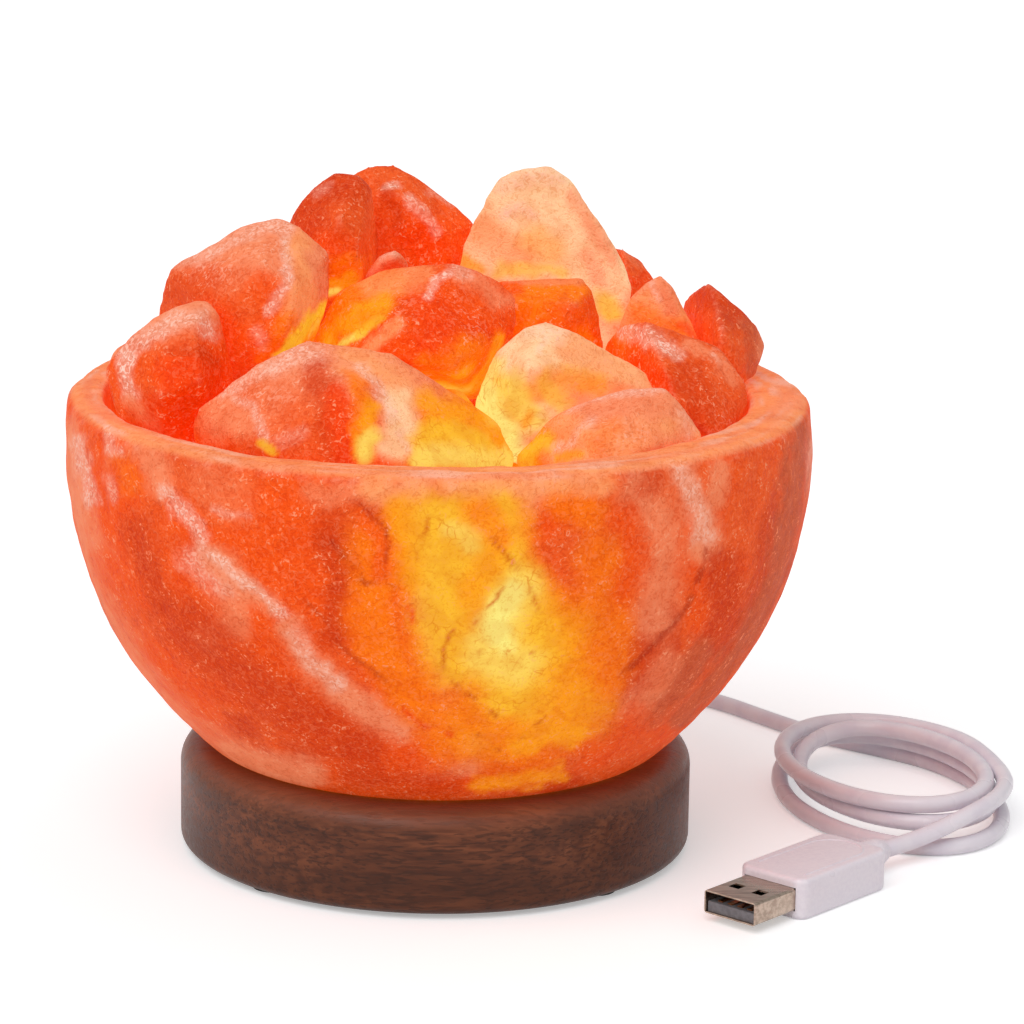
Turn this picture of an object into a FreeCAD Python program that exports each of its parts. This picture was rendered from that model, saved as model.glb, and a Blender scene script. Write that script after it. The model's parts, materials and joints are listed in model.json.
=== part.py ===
import FreeCAD, Part
import math
import os
import Sketcher

# Salt crystal lamp: a carved salt bowl filled with salt chunks stands on a turned wood base.
# A small screw-in bulb stands in a holder in the base and lights the chunks from inside.
# A thin lead leaves the back of the base, lies in a loose coil and ends in a flat USB plug.
# Frame: +Z up, origin on the lamp's axis at the surface it stands on, front towards -Y. Millimetres.

DRIVING_SIZES = [
    # rubber feet
    ("foot_stand", 0.8),            # how far the feet hold the wood off the table
    ("foot_inset", 0.8),            # how deep each foot sits in the wood
    ("foot_radius", 4.0),
    ("foot_ring", 43.0),            # circle that the feet stand on
    # wood base
    ("base_radius", 49.7),
    ("base_thickness", 20.2),
    ("base_top_round", 4.5),
    ("base_bottom_round", 2.2),
    ("recess_radius", 30.0),        # hollow underneath for the wiring
    ("recess_depth", 10.8),
    ("cover_radius", 38.0),
    ("cover_thickness", 1.5),
    ("cover_screw_ring", 34.0),
    ("slip", 0.15),                 # clearance of pieces that slide into each other
    # bulb holder
    ("flange_radius", 17.0),
    ("flange_thickness", 2.4),
    ("holder_radius", 10.3),
    ("holder_rise", 11.0),          # how far the holder stands above the wood
    ("holder_tail_radius", 8.5),
    ("holder_tail_length", 3.6),
    ("holder_bore_radius", 7.1),
    ("holder_floor", 9.2),          # thickness of the holder's closed end, terminals included
    ("holder_screw_ring", 13.8),
    ("thread_shell_wall", 0.7),
    ("contact_radius", 2.6),
    ("contact_thickness", 1.2),
    # fasteners
    ("screw_radius", 1.3),
    ("screw_head_radius", 2.6),
    ("screw_head_height", 1.4),
    ("screw_length", 7.0),
    # bulb
    ("cap_radius", 5.95),
    ("cap_length", 12.5),
    ("cap_wall", 0.35),
    ("cap_insulator", 1.2),
    ("tip_radius", 1.9),
    ("tip_height", 0.8),
    ("glass_radius", 11.0),
    ("glass_height", 36.0),         # from the cap's mouth to the tip
    ("glass_wall", 0.8),
    ("stem_radius", 2.4),
    ("stem_height", 15.0),
    ("filament_radius", 0.8),
    ("filament_length", 14.0),
    ("filament_ring", 4.2),
    ("unscrew_travel", 10.16),      # four turns of a 2.54 mm pitch
    # salt bowl
    ("foot_face_radius", 43.3),
    ("bowl_height", 69.0),
    ("rim_radius", 70.7),
    ("side_curve", 74.9),
    ("bowl_foot_round", 6.0),
    ("rim_outer_round", 2.8),
    ("rim_inner_round", 1.5),
    ("bowl_wall", 9.2),             # at the rim
    ("hollow_offset", 2.5),         # the hollow is carved this far to the left of the axis
    ("hollow_floor_radius", 24.0),
    ("hollow_curve", 57.5),
    ("bowl_floor", 14.0),
    ("bulb_hole_radius", 18.0),
    # salt chunks
    ("chunk_gap", 0.3),             # play between a chunk and whatever it leans on
    ("bulb_room_radius", 13.2),     # free space left round the bulb
    ("bulb_room_above", 1.2),
    # lead
    ("cord_radius", 1.7),
    ("cord_play", 0.1),
    ("cord_inner_start", 21.0),     # where the jacket ends inside the recess
    ("grommet_radius", 3.4),
    ("grommet_flange_radius", 5.0),
    ("grommet_flange", 1.6),
    ("grommet_seat", 0.7),
    ("grommet_nose", 7.0),
    ("grommet_nose_radius", 2.5),
    ("clamp_width", 5.0),
    ("clamp_wall", 1.4),
    ("clamp_span", 19.0),
    ("clamp_place", 25.5),
    ("clamp_screw_spacing", 13.0),
    ("lead_radius", 0.55),
    # plug
    ("plug_x", 54.7),
    ("plug_y", -52.0),
    ("plug_heading", 48.0),         # direction from the plug's mouth to its cable, from +X
    ("shell_width", 12.0),
    ("shell_thick", 4.5),
    ("shell_wall", 0.3),
    ("shell_free_length", 12.0),
    ("shell_held_length", 6.7),
    ("window_side", 2.4),
    ("window_spacing", 5.4),
    ("window_from_mouth", 5.6),
    ("tongue_thick", 1.9),
    ("tongue_back", 0.6),
    ("contact_strip_width", 1.1),
    ("contact_strip_thick", 0.25),
    ("contact_pitch", 2.3),
    ("overmould_length", 27.0),
    ("overmould_width", 15.6),
    ("overmould_thick", 8.0),
    ("overmould_side_round", 2.4),
    ("overmould_edge_round", 0.9),
    ("relief_length", 8.0),
    ("relief_radius", 2.9),
]

doc = FreeCAD.newDocument("salt_crystal_lamp")
sheet = doc.addObject("Spreadsheet::Sheet", "sizes")
nodes = {}


class Size:
    """A length that knows its sheet expression, so that sums and shares of it stay bound to the cells."""

    def __init__(self, words, value):
        self.words = words
        self.value = float(value)

    @staticmethod
    def of(other):
        return other if isinstance(other, Size) else Size(repr(float(other)), other)

    def __add__(self, other):
        other = Size.of(other)
        return Size(f"({self.words} + {other.words})", self.value + other.value)

    def __sub__(self, other):
        other = Size.of(other)
        return Size(f"({self.words} - {other.words})", self.value - other.value)

    def __mul__(self, other):
        other = Size.of(other)
        return Size(f"({self.words} * {other.words})", self.value * other.value)

    def __truediv__(self, other):
        other = Size.of(other)
        return Size(f"({self.words} / {other.words})", self.value / other.value)

    def __radd__(self, other):
        return Size.of(other) + self

    def __rsub__(self, other):
        return Size.of(other) - self

    def __rmul__(self, other):
        return Size.of(other) * self

    def __neg__(self):
        return Size.of(-1) * self


class Sizes:
    """The driving sizes by name, read back from the sheet."""

    def __init__(self, rows):
        for row, (alias, value) in enumerate(rows, start=1):
            sheet.set(f"A{row}", alias)
            sheet.set(f"B{row}", str(value))
            sheet.setAlias(f"B{row}", alias)
        doc.recompute()
        for alias, _ in rows:
            setattr(self, alias, Size(f"sizes.{alias}", sheet.get(alias)))


d = Sizes(DRIVING_SIZES)


# ---------------------------------------------------------------- building blocks

def bind(target, name, size):
    """Ties a property to the sheet."""
    target.setExpression(name, Size.of(size).words)


def place(target, at, axis=None, angle=0.0):
    """Puts an object at a point, turned about an axis; both stay bound to the sheet."""
    if axis is not None:
        target.Placement = FreeCAD.Placement(FreeCAD.Vector(), FreeCAD.Rotation(axis, Size.of(angle).value))
        if isinstance(angle, Size):
            bind(target, "Placement.Rotation.Angle", angle)
    for letter, value in zip("xyz", at):
        bind(target, f"Placement.Base.{letter}", value)
    return target


def keep(label, target):
    """Names a finished sub-part."""
    target.Label = label
    nodes[label] = target
    return target


def origin_plane(body, role):
    return next(plane for plane in body.Origin.OriginFeatures if plane.Role == role)


def sketch_on(body, role, name, offset=0.0):
    sketch = body.newObject("Sketcher::SketchObject", name)
    sketch.AttachmentSupport = [(origin_plane(body, role), "")]
    sketch.MapMode = "FlatFace"
    bind(sketch, "AttachmentOffset.Base.z", offset)
    return sketch


def hold_point(sketch, edge, end, x, y):
    """Fixes one end of an edge at sheet sizes from the sketch's origin."""
    for kind, value, axis in (("DistanceX", Size.of(x), -2), ("DistanceY", Size.of(y), -1)):
        if value.words in ("0.0", "-0.0"):
            sketch.addConstraint(Sketcher.Constraint("PointOnObject", edge, end, axis))
            continue
        index = sketch.addConstraint(Sketcher.Constraint(kind, -1, 1, edge, end, value.value))
        bind(sketch, f"Constraints[{index}]", value)


def arc_between(start, end, radius):
    """Arc of less than half a turn; a positive radius bulges to the right of the way travelled."""
    chord = end - start
    middle = (start + end) * 0.5
    left = FreeCAD.Vector(-chord.y, chord.x, 0).normalize()
    reach = math.sqrt(radius * radius - chord.Length * chord.Length / 4)
    centre = middle + left * (reach if radius > 0 else -reach)
    first, last = (start, end) if radius > 0 else (end, start)
    circle = Part.Circle(centre, FreeCAD.Vector(0, 0, 1), abs(radius))
    angles = [math.atan2(point.y - centre.y, point.x - centre.x) for point in (first, last)]
    return Part.ArcOfCircle(circle, *angles)


def draw_outline(sketch, corners):
    """Closed outline; a corner is (x, y) or (x, y, radius of the arc to the next corner)."""
    points = [FreeCAD.Vector(Size.of(c[0]).value, Size.of(c[1]).value, 0) for c in corners]
    ends = []
    for i, corner in enumerate(corners):
        start, end = points[i], points[(i + 1) % len(points)]
        if len(corner) == 2:
            sketch.addGeometry(Part.LineSegment(start, end), False)
            ends.append((1, 2))
            continue
        radius = Size.of(corner[2])
        sketch.addGeometry(arc_between(start, end, radius.value), False)
        ends.append((1, 2) if radius.value > 0 else (2, 1))
    for i, corner in enumerate(corners):
        following = (i + 1) % len(corners)
        joint = (i, ends[i][1], following, ends[following][0])
        sketch.addConstraint(Sketcher.Constraint("Coincident", *joint))
        hold_point(sketch, i, ends[i][0], corner[0], corner[1])
        if len(corner) == 3:
            radius = Size.of(corner[2])
            size = radius if radius.value > 0 else -radius
            index = sketch.addConstraint(Sketcher.Constraint("Radius", i, size.value))
            bind(sketch, f"Constraints[{index}]", size)


def draw_circle(sketch, x, y, radius):
    index = sketch.addGeometry(
        Part.Circle(FreeCAD.Vector(Size.of(x).value, Size.of(y).value, 0), FreeCAD.Vector(0, 0, 1),
                    radius.value), False)
    hold_point(sketch, index, 3, x, y)
    bind(sketch, f"Constraints[{sketch.addConstraint(Sketcher.Constraint('Radius', index, radius.value))}]",
         radius)


def draw_rectangle(sketch, x, y, width, height):
    """Rectangle round the point (x, y)."""
    left, right = x - width / 2, x + width / 2
    low, high = y - height / 2, y + height / 2
    draw_outline(sketch, [(left, low), (right, low), (right, high), (left, high)])


def turned_body(name, outline):
    """A piece made on a lathe: its half section in XZ is turned about the Z axis."""
    body = doc.addObject("PartDesign::Body", name)
    sketch = sketch_on(body, "XZ_Plane", name + "_section")
    draw_outline(sketch, outline)
    turning = body.newObject("PartDesign::Revolution", name + "_turning")
    turning.Profile = (sketch, [""])
    turning.ReferenceAxis = (sketch, ["V_Axis"])
    turning.Angle = 360
    sketch.Visibility = False
    return body


def cut_down(body, sketch, length, upwards=False):
    """Pocket along the sketch's normal, and a check that it took material away."""
    doc.recompute()
    before = body.Shape.Volume
    pocket = body.newObject("PartDesign::Pocket", sketch.Name + "_cut")
    pocket.Profile = (sketch, [""])
    pocket.Reversed = upwards
    bind(pocket, "Length", length)
    doc.recompute()
    if not body.Shape.Volume < before - 0.01:
        raise RuntimeError(sketch.Name + " cuts nothing")
    return pocket


def round_edges(body, name, radius, wanted):
    """Fillet on the edges of the finished shape so far that a test picks out."""
    tip = body.Tip
    names = [f"Edge{number}" for number, edge in enumerate(tip.Shape.Edges, start=1) if wanted(edge)]
    rounding = body.newObject("PartDesign::Fillet", name)
    rounding.Base = (tip, names)
    bind(rounding, "Radius", radius)
    doc.recompute()
    return rounding


def runs_along(direction):
    """Test for straight edges that run along a direction."""
    return lambda edge: (isinstance(edge.Curve, Part.Line)
                         and abs(abs(edge.Curve.Direction.dot(direction)) - 1) < 1e-6)


def repeat_round(body, feature, sketch, count):
    """The same feature count times round the sketch's normal."""
    pattern = body.newObject("PartDesign::PolarPattern", feature.Name + "_pattern")
    pattern.Originals = [feature]
    pattern.Axis = (sketch, ["N_Axis"])
    pattern.Angle = 360
    pattern.Occurrences = count
    body.Tip = pattern
    return pattern


def box(name, length, width, height, at):
    solid = doc.addObject("Part::Box", name)
    for side, value in (("Length", length), ("Width", width), ("Height", height)):
        bind(solid, side, value)
    return place(solid, at)


def cylinder(name, radius, height, at, axis=None, angle=0.0):
    solid = doc.addObject("Part::Cylinder", name)
    bind(solid, "Radius", radius)
    bind(solid, "Height", height)
    return place(solid, at, axis, angle)


def cut(name, base, tool):
    result = doc.addObject("Part::Cut", name)
    result.Base = base
    result.Tool = tool
    return result


def fuse(name, pieces):
    result = doc.addObject("Part::MultiFuse", name)
    result.Shapes = pieces
    return result


def group(name, pieces):
    result = doc.addObject("Part::Compound", name)
    result.Links = pieces
    return result


def ring_point(radius, degrees):
    turn = math.radians(degrees)
    return radius * round(math.cos(turn), 9), radius * round(math.sin(turn), 9)


def tube_path(points):
    """Straight runs with tangent arcs; each arc is as large as its two runs allow."""
    points = [FreeCAD.Vector(*point) for point in points]
    edges, radii, start = [], [], points[0]
    for before, corner, after in zip(points, points[1:], points[2:]):
        back, ahead = before - corner, after - corner
        half_turn = (math.pi - back.getAngle(ahead)) / 2
        tangent = 0.45 * min(back.Length, ahead.Length)
        enter = corner + back.normalize() * tangent
        leave = corner + ahead.normalize() * tangent
        radius = tangent / math.tan(half_turn)
        inward = (back + ahead).normalize()
        middle = corner + inward * (math.hypot(tangent, radius) - radius)
        edges += [Part.LineSegment(start, enter).toShape(), Part.Arc(enter, middle, leave).toShape()]
        radii.append(radius)
        start = leave
    edges.append(Part.LineSegment(start, points[-1]).toShape())
    return Part.Wire(edges), radii


def tube(label, points, radius):
    """Round tube along a route, with its volume compared with section times length."""
    path, radii = tube_path(points)
    first = path.Edges[0]
    heading = first.tangentAt(first.FirstParameter)
    profile = Part.Wire([Part.makeCircle(radius, FreeCAD.Vector(*points[0]), heading)])
    shape = path.makePipeShell([profile], True, False)
    expected = math.pi * radius * radius * path.Length
    print(label, "length", round(path.Length, 1), "radii", [round(value, 1) for value in radii],
          "volume share", round(shape.Volume / expected, 4))
    feature = doc.addObject("Part::Feature", label)
    feature.Shape = shape
    return keep(label, feature), path.Length


# ---------------------------------------------------------------- heights and radii that several pieces share

wood_bottom = d.foot_stand
wood_top = wood_bottom + d.base_thickness
recess_top = wood_bottom + d.recess_depth
flange_bottom = recess_top - d.flange_thickness
holder_bottom = flange_bottom - d.holder_tail_length
holder_top = wood_top + d.holder_rise
socket_floor = holder_bottom + d.holder_floor
cord_height = recess_top - d.cord_radius - d.cord_play
rim_height = wood_top + d.bowl_height
hollow_radius = d.rim_radius - d.bowl_wall
hollow_floor = wood_top + d.bowl_floor

# ---------------------------------------------------------------- wood base and what is screwed to it


def wood_base():
    bore = d.holder_radius + d.slip
    rebate = d.cover_radius + d.slip
    rebate_top = wood_bottom + d.cover_thickness + d.slip
    body = turned_body("wood_base", [
        (bore, recess_top),
        (d.recess_radius, recess_top),
        (d.recess_radius, rebate_top),
        (rebate, rebate_top),
        (rebate, wood_bottom),
        (d.base_radius - d.base_bottom_round, wood_bottom, d.base_bottom_round),
        (d.base_radius, wood_bottom + d.base_bottom_round),
        (d.base_radius, wood_top - d.base_top_round, d.base_top_round),
        (d.base_radius - d.base_top_round, wood_top),
        (bore, wood_top),
    ])
    foot_hole = sketch_on(body, "XY_Plane", "foot_hole", wood_bottom)
    draw_circle(foot_hole, *ring_point(d.foot_ring, 45), d.foot_radius + d.slip)
    repeat_round(body, cut_down(body, foot_hole, d.foot_inset, True), foot_hole, 4)
    pilot = d.screw_radius + d.slip
    cover_hole = sketch_on(body, "XY_Plane", "cover_screw_hole", rebate_top)
    draw_circle(cover_hole, *ring_point(d.cover_screw_ring, 90 + 60), pilot)
    repeat_round(body, cut_down(body, cover_hole, d.screw_length, True), cover_hole, 3)
    holder_hole = sketch_on(body, "XY_Plane", "holder_screw_hole", recess_top)
    draw_circle(holder_hole, d.holder_screw_ring, 0.0, pilot)
    repeat_round(body, cut_down(body, holder_hole, d.screw_length, True), holder_hole, 2)
    for side in (-1, 1):
        clamp_hole = sketch_on(body, "XY_Plane", f"clamp_screw_hole_{side + 1}", recess_top)
        draw_circle(clamp_hole, d.clamp_screw_spacing * (side / 2), d.clamp_place, pilot)
        cut_down(body, clamp_hole, d.screw_length, True)
    lead_hole = sketch_on(body, "XZ_Plane", "lead_hole", 1.0 - d.recess_radius)
    draw_circle(lead_hole, 0.0, cord_height, d.grommet_radius + d.slip)
    cut_down(body, lead_hole, d.base_radius)
    seat = sketch_on(body, "XZ_Plane", "grommet_seat_face", d.grommet_seat - d.base_radius)
    draw_circle(seat, 0.0, cord_height, d.grommet_flange_radius + d.slip)
    cut_down(body, seat, d.base_radius)
    return keep("wood_base", body)


def rubber_feet():
    feet = []
    for corner in range(4):
        x, y = ring_point(d.foot_ring, 45 + 90 * corner)
        feet.append(cylinder(f"foot_{corner + 1}", d.foot_radius, d.foot_stand + d.foot_inset, (x, y, 0.0)))
    return keep("rubber_feet", group("rubber_feet", feet))


def screw_set(label, places, head_face):
    """Countersunk wood screws that point up, with the heads' flat faces at one height."""
    screws = []
    for number, (x, y) in enumerate(places, start=1):
        head_top = d.screw_head_height
        screw = turned_body(f"{label}_{number}", [
            (0.0, 0.0),
            (d.screw_head_radius, 0.0),
            (d.screw_head_radius, 0.25 * head_top),
            (d.screw_radius, head_top),
            (d.screw_radius, d.screw_length - d.screw_radius),
            (0.0, d.screw_length),
        ])
        for way, (long, wide) in enumerate((("x", "y"), ("y", "x"))):
            slot = sketch_on(screw, "XY_Plane", f"{label}_{number}_cross_{way}")
            length, width = d.screw_head_radius, d.screw_radius * 0.4
            draw_rectangle(slot, 0.0, 0.0, length if long == "x" else width, length if wide == "x" else width)
            cut_down(screw, slot, d.screw_head_height * 0.6, True)
        screws.append(place(screw, (x, y, head_face)))
    return keep(label, group(label, screws))


def bottom_cover():
    """Thin disc that closes the wiring recess from below, flush with the wood."""
    body = turned_body("bottom_cover", [
        (0.0, wood_bottom),
        (d.cover_radius, wood_bottom),
        (d.cover_radius, wood_bottom + d.cover_thickness),
        (0.0, wood_bottom + d.cover_thickness),
    ])
    hole = sketch_on(body, "XY_Plane", "cover_hole", wood_bottom)
    draw_circle(hole, *ring_point(d.cover_screw_ring, 90 + 60), d.screw_head_radius + d.slip)
    repeat_round(body, cut_down(body, hole, d.cover_thickness, True), hole, 3)
    return keep("bottom_cover", body)


# ---------------------------------------------------------------- bulb holder


def holder():
    body = turned_body("holder_body", [
        (0.0, holder_bottom),
        (d.holder_tail_radius, holder_bottom),
        (d.holder_tail_radius, flange_bottom),
        (d.flange_radius, flange_bottom),
        (d.flange_radius, recess_top),
        (d.holder_radius, recess_top),
        (d.holder_radius, holder_top - 1.0, 1.0),
        (d.holder_radius - 1.0, holder_top),
        (d.holder_bore_radius, holder_top),
        (d.holder_bore_radius, socket_floor),
        (0.0, socket_floor),
    ])
    hole = sketch_on(body, "XY_Plane", "flange_hole", flange_bottom)
    draw_circle(hole, d.holder_screw_ring, 0.0, d.screw_head_radius + d.slip)
    repeat_round(body, cut_down(body, hole, d.flange_thickness, True), hole, 2)
    return keep("holder_body", body)


shell_outer = d.holder_bore_radius - d.slip
shell_inner = d.holder_bore_radius - d.slip - d.thread_shell_wall
contact_top = socket_floor + d.contact_thickness
cap_bottom = contact_top + d.tip_height + d.cap_insulator
cap_top = cap_bottom + d.cap_length
cap_inner = d.cap_radius - 3 * d.cap_wall
glass_neck = cap_inner - d.slip
shell_bottom = cap_bottom - 0.5
shell_top = holder_top - 1.2


def holder_metal():
    shell = turned_body("holder_thread_shell", [
        (shell_inner, shell_bottom),
        (shell_outer, shell_bottom),
        (shell_outer, shell_top),
        (shell_inner, shell_top),
    ])
    keep("holder_thread_shell", shell)
    contact = turned_body("holder_centre_contact", [
        (0.0, socket_floor),
        (d.contact_radius, socket_floor),
        (d.contact_radius, socket_floor + d.contact_thickness * 0.5),
        (0.0, contact_top),
    ])
    keep("holder_centre_contact", contact)


# ---------------------------------------------------------------- bulb

glass_tip = cap_top + d.glass_height


def bulb():
    tip = turned_body("bulb_tip_contact", [
        (0.0, contact_top),
        (d.tip_radius, contact_top + d.tip_height * 0.5),
        (d.tip_radius, contact_top + d.tip_height),
        (0.0, contact_top + d.tip_height),
    ])
    keep("bulb_tip_contact", tip)
    insulator = turned_body("bulb_insulator", [
        (0.0, contact_top + d.tip_height),
        (d.tip_radius, contact_top + d.tip_height),
        (d.cap_radius - d.cap_wall, cap_bottom),
        (0.0, cap_bottom),
    ])
    keep("bulb_insulator", insulator)
    keep("bulb_screw_cap", turned_body("bulb_screw_cap", cap_outline()))
    keep("bulb_glass", turned_body("bulb_glass", glass_outline()))
    keep("bulb_stem", turned_body("bulb_stem", [
        (0.0, cap_bottom + d.cap_wall),
        (d.stem_radius, cap_bottom + d.cap_wall),
        (d.stem_radius, cap_top + d.stem_height * 0.6),
        (d.stem_radius * 0.5, cap_top + d.stem_height),
        (0.0, cap_top + d.stem_height),
    ]))
    filaments = []
    bottom = cap_top + d.stem_height * 0.35
    for number in range(4):
        x, y = ring_point(d.filament_ring, 45 + 90 * number)
        filaments.append(cylinder(f"filament_{number + 1}", d.filament_radius, d.filament_length,
                                  (x, y, bottom)))
    filaments.append(filament_star("filament_star", bottom))
    keep("bulb_filaments", fuse("bulb_filaments", filaments))


def filament_star(name, bottom):
    """Thin cross plate at the filaments' feet that ties them to the stem."""
    plate = cylinder(name + "_disc", d.filament_ring + d.filament_radius * 0.5, d.filament_radius, (0.0, 0.0, bottom))
    hole = cylinder(name + "_hole", d.stem_radius, d.filament_radius, (0.0, 0.0, bottom))
    return cut(name, plate, hole)


def cap_outline():
    """Screw cap with a coarse round thread: the wall steps in and out once per turn."""
    pitch = d.unscrew_travel / 4
    depth = d.cap_wall
    outer = d.cap_radius
    outline = [(0.0, cap_bottom), (outer - depth, cap_bottom)]
    for turn in range(4):
        middle = cap_bottom + pitch * (turn + 0.5)
        outline += [(outer, middle), (outer - depth, middle + pitch / 2)]
    outline += [(outer - depth, cap_top), (cap_inner, cap_top), (cap_inner, cap_bottom + depth),
                (0.0, cap_bottom + depth)]
    return outline


def glass_outline():
    """Candle-shaped envelope: neck, belly and a round nose, all as thin wall."""
    wall = d.glass_wall
    neck_foot = cap_top - 3.0
    shoulder = cap_top + 1.5
    belly = cap_top + d.glass_height * 0.42
    side = d.glass_height * 0.62
    nose = d.glass_radius * 0.35
    nose_base = glass_tip - nose
    return [
        (glass_neck - wall, neck_foot),
        (glass_neck, neck_foot),
        (glass_neck, shoulder, side),
        (d.glass_radius, belly, side),
        (nose, nose_base, nose),
        (0.0, glass_tip),
        (0.0, glass_tip - wall, wall - nose),
        (nose - wall, nose_base, -side),
        (d.glass_radius - wall, belly, -side),
        (glass_neck - wall, shoulder),
    ]


# ---------------------------------------------------------------- salt bowl


def hollow_tool(name, margin, mouth):
    """Space inside the bowl, a margin smaller all round, and above the rim as wide as the mouth."""
    radius = hollow_radius - margin
    lip = rim_height - d.rim_inner_round
    lip_edge = hollow_radius + d.rim_inner_round - margin
    above = rim_height + d.bowl_height
    body = turned_body(name, [
        (0.0, hollow_floor + margin),
        (d.hollow_floor_radius - margin, hollow_floor + margin, d.hollow_curve - margin),
        (radius, lip, -(d.rim_inner_round + margin)),
        (lip_edge, rim_height + margin),
        (mouth, rim_height + margin),
        (mouth, above),
        (0.0, above),
    ])
    return place(body, (-d.hollow_offset, 0.0, 0.0))


def salt_bowl():
    outside = turned_body("bowl_outside", [
        (0.0, wood_top),
        (d.foot_face_radius, wood_top, d.side_curve),
        (d.rim_radius, rim_height),
        (0.0, rim_height),
    ])
    doc.recompute()
    for name, radius, height in (("foot_round", d.bowl_foot_round, wood_top),
                                 ("rim_round", d.rim_outer_round, rim_height)):
        round_edges(outside, name, radius, lambda edge: isinstance(edge.Curve, Part.Circle)
                    and abs(edge.Curve.Center.z - height.value) < 0.01)
    carved = cut("bowl_carved", outside, hollow_tool("bowl_hollow", Size.of(0.0), d.rim_radius))
    hole = cylinder("bulb_hole", d.bulb_hole_radius, d.bowl_height, (0.0, 0.0, wood_top - 1.0))
    return keep("salt_bowl", cut("salt_bowl", carved, hole))


# ---------------------------------------------------------------- salt chunks
# Places are in hundredths of the hollow's radius: x to the right of the hollow's centre,
# y towards the back and z above the rim. Each visible chunk has the outline that it shows from
# the front, at depth "at", and two or more ridge points (x, y, z) where its front facets meet.
# Chunks in front are settled first and keep their shape; the ones behind are trimmed to lean on them.

VISIBLE_CHUNKS = [
    ("chunk_front_left", -58, 32,
     [(-70, 0), (-68, 6), (-51, 20), (-36, 27), (-22, 24), (-11, 24), (5, 13), (22, 3), (27, -9),
      (22, -28), (-18, -38), (-50, -32), (-68, -12)],
     [(-22, -80, 17), (-10, -90, -6), (-48, -84, 0), (8, -86, -10), (-20, -92, -14)]),
    ("chunk_front_right", -58, 28,
     [(26, -10), (36, 4), (44, 9), (58, 13), (71, 15), (79, 5), (83, -2), (80, -16), (62, -30), (36, -28)],
     [(50, -80, 4), (68, -76, 0), (44, -84, -10), (58, -82, -14)]),
    ("chunk_front_middle", -30, 24,
     [(12, 0), (21, 19), (29, 27), (36, 28), (43, 26), (54, 19), (67, 12), (71, 6), (66, -12), (50, -24),
      (28, -22), (15, -12)],
     [(30, -50, 18), (46, -54, 8), (34, -56, -4)]),
    ("chunk_right_front", -13, 30,
     [(51, 16), (58, 26), (66, 26), (91, 17), (99, 6), (100, -3), (92, -18), (76, -26), (60, -18), (52, 4)],
     [(66, -38, 12), (86, -36, 2), (88, -42, -10)]),
    ("chunk_left_front", -40, 14,
     [(-97, 14), (-92, 21), (-90, 24), (-83, 29), (-76, 33), (-70, 35), (-66, 35), (-63, 32), (-61, 23),
      (-58, 14), (-60, -4), (-68, -18), (-80, -18), (-90, -8), (-95, 4)],
     [(-78, -56, 25), (-69, -52, 32), (-79, -62, 11), (-67, -60, 15)]),
    ("chunk_left_high", -14, 36,
     [(-88, 10), (-86, 22), (-84, 31), (-79, 40), (-66, 47), (-58, 53), (-46, 56), (-39, 54), (-30, 45),
      (-31, 30), (-35, 16), (-44, -4), (-58, -16), (-78, -10)],
     [(-51, -36, 46), (-58, -38, 36), (-40, -38, 38), (-52, -42, 18), (-42, -42, 22)]),
    ("chunk_centre", -12, 32,
     [(-36, 15), (-31, 28), (-27, 34), (-14, 40), (8, 43), (20, 38), (27, 32), (28, 25), (24, 12),
      (14, -4), (0, -10), (-24, -4)],
     [(-8, -38, 28), (10, -40, 18), (-22, -36, 14), (2, -42, 6)]),
    ("chunk_glow", -27, 16,
     [(-2, 2), (4, 7), (11, 6), (15, 0), (14, -10), (2, -14), (-6, -6)],
     [(4, -38, 2), (9, -37, -4)]),
    ("chunk_centre_peek", 12, 16,
     [(-20, 34), (-15, 40), (-10, 42), (-6, 38), (-5, 28), (-12, 22), (-20, 26)],
     [(-12, 4, 37)]),
    ("chunk_block", 10, 26,
     [(14, 30), (20, 33), (33, 34), (48, 34), (51, 31), (56, 12), (50, -8), (24, -12), (13, 8)],
     [(24, -3, 30), (46, -4, 29), (36, -6, 14)]),
    ("chunk_right_peach", 18, 28,
     [(60, 15), (63, 27), (68, 32), (73, 34), (77, 31), (83, 20), (87, 9), (86, -8), (72, -20), (60, -10)],
     [(72, 3, 24), (76, 2, 10), (74, -4, -8)]),
    ("chunk_left_low", 12, 36,
     [(-101, 3), (-97, 10), (-88, 15), (-78, 14), (-66, 0), (-72, -22), (-88, -24), (-98, -10)],
     [(-90, -6, 4), (-86, -6, -10)]),
    ("chunk_right_back", 24, 34,
     [(76, 18), (78, 25), (82, 29), (88, 30), (92, 28), (105, 16), (107, 10), (104, 0), (94, -16),
      (80, -16)],
     [(92, 4, 20), (98, 4, 6), (84, 2, 6), (92, 2, -8)]),
    ("chunk_back_left", 26, 20,
     [(-45, 44), (-43, 50), (-37, 58), (-30, 64), (-22, 64), (-14, 54), (-10, 40), (-8, 22), (-20, 2),
      (-44, 4), (-50, 26)],
     [(-28, 6, 52), (-34, 4, 36), (-18, 6, 40)]),
    ("chunk_tall", 34, 38,
     [(9, 32), (10, 40), (13, 48), (22, 61), (29, 65), (38, 65), (44, 61), (55, 46), (63, 33), (67, 22),
      (64, 2), (46, -12), (22, -10), (8, 10)],
     [(28, 14, 54), (44, 14, 46), (24, 12, 32), (50, 16, 24)]),
    ("chunk_back_middle", 56, 26,
     [(-30, 50), (-26, 57), (-20, 61), (-12, 61), (-5, 58), (8, 49), (15, 42), (16, 24), (8, 0), (-18, -2),
      (-30, 22)],
     [(-12, 38, 52), (2, 38, 42)]),
    ("chunk_small_back", 56, 24,
     [(48, 34), (54, 39), (62, 36), (69, 31), (76, 20), (74, 2), (52, -6), (42, 12)],
     [(60, 44, 30), (62, 40, 12)]),
]

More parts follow.
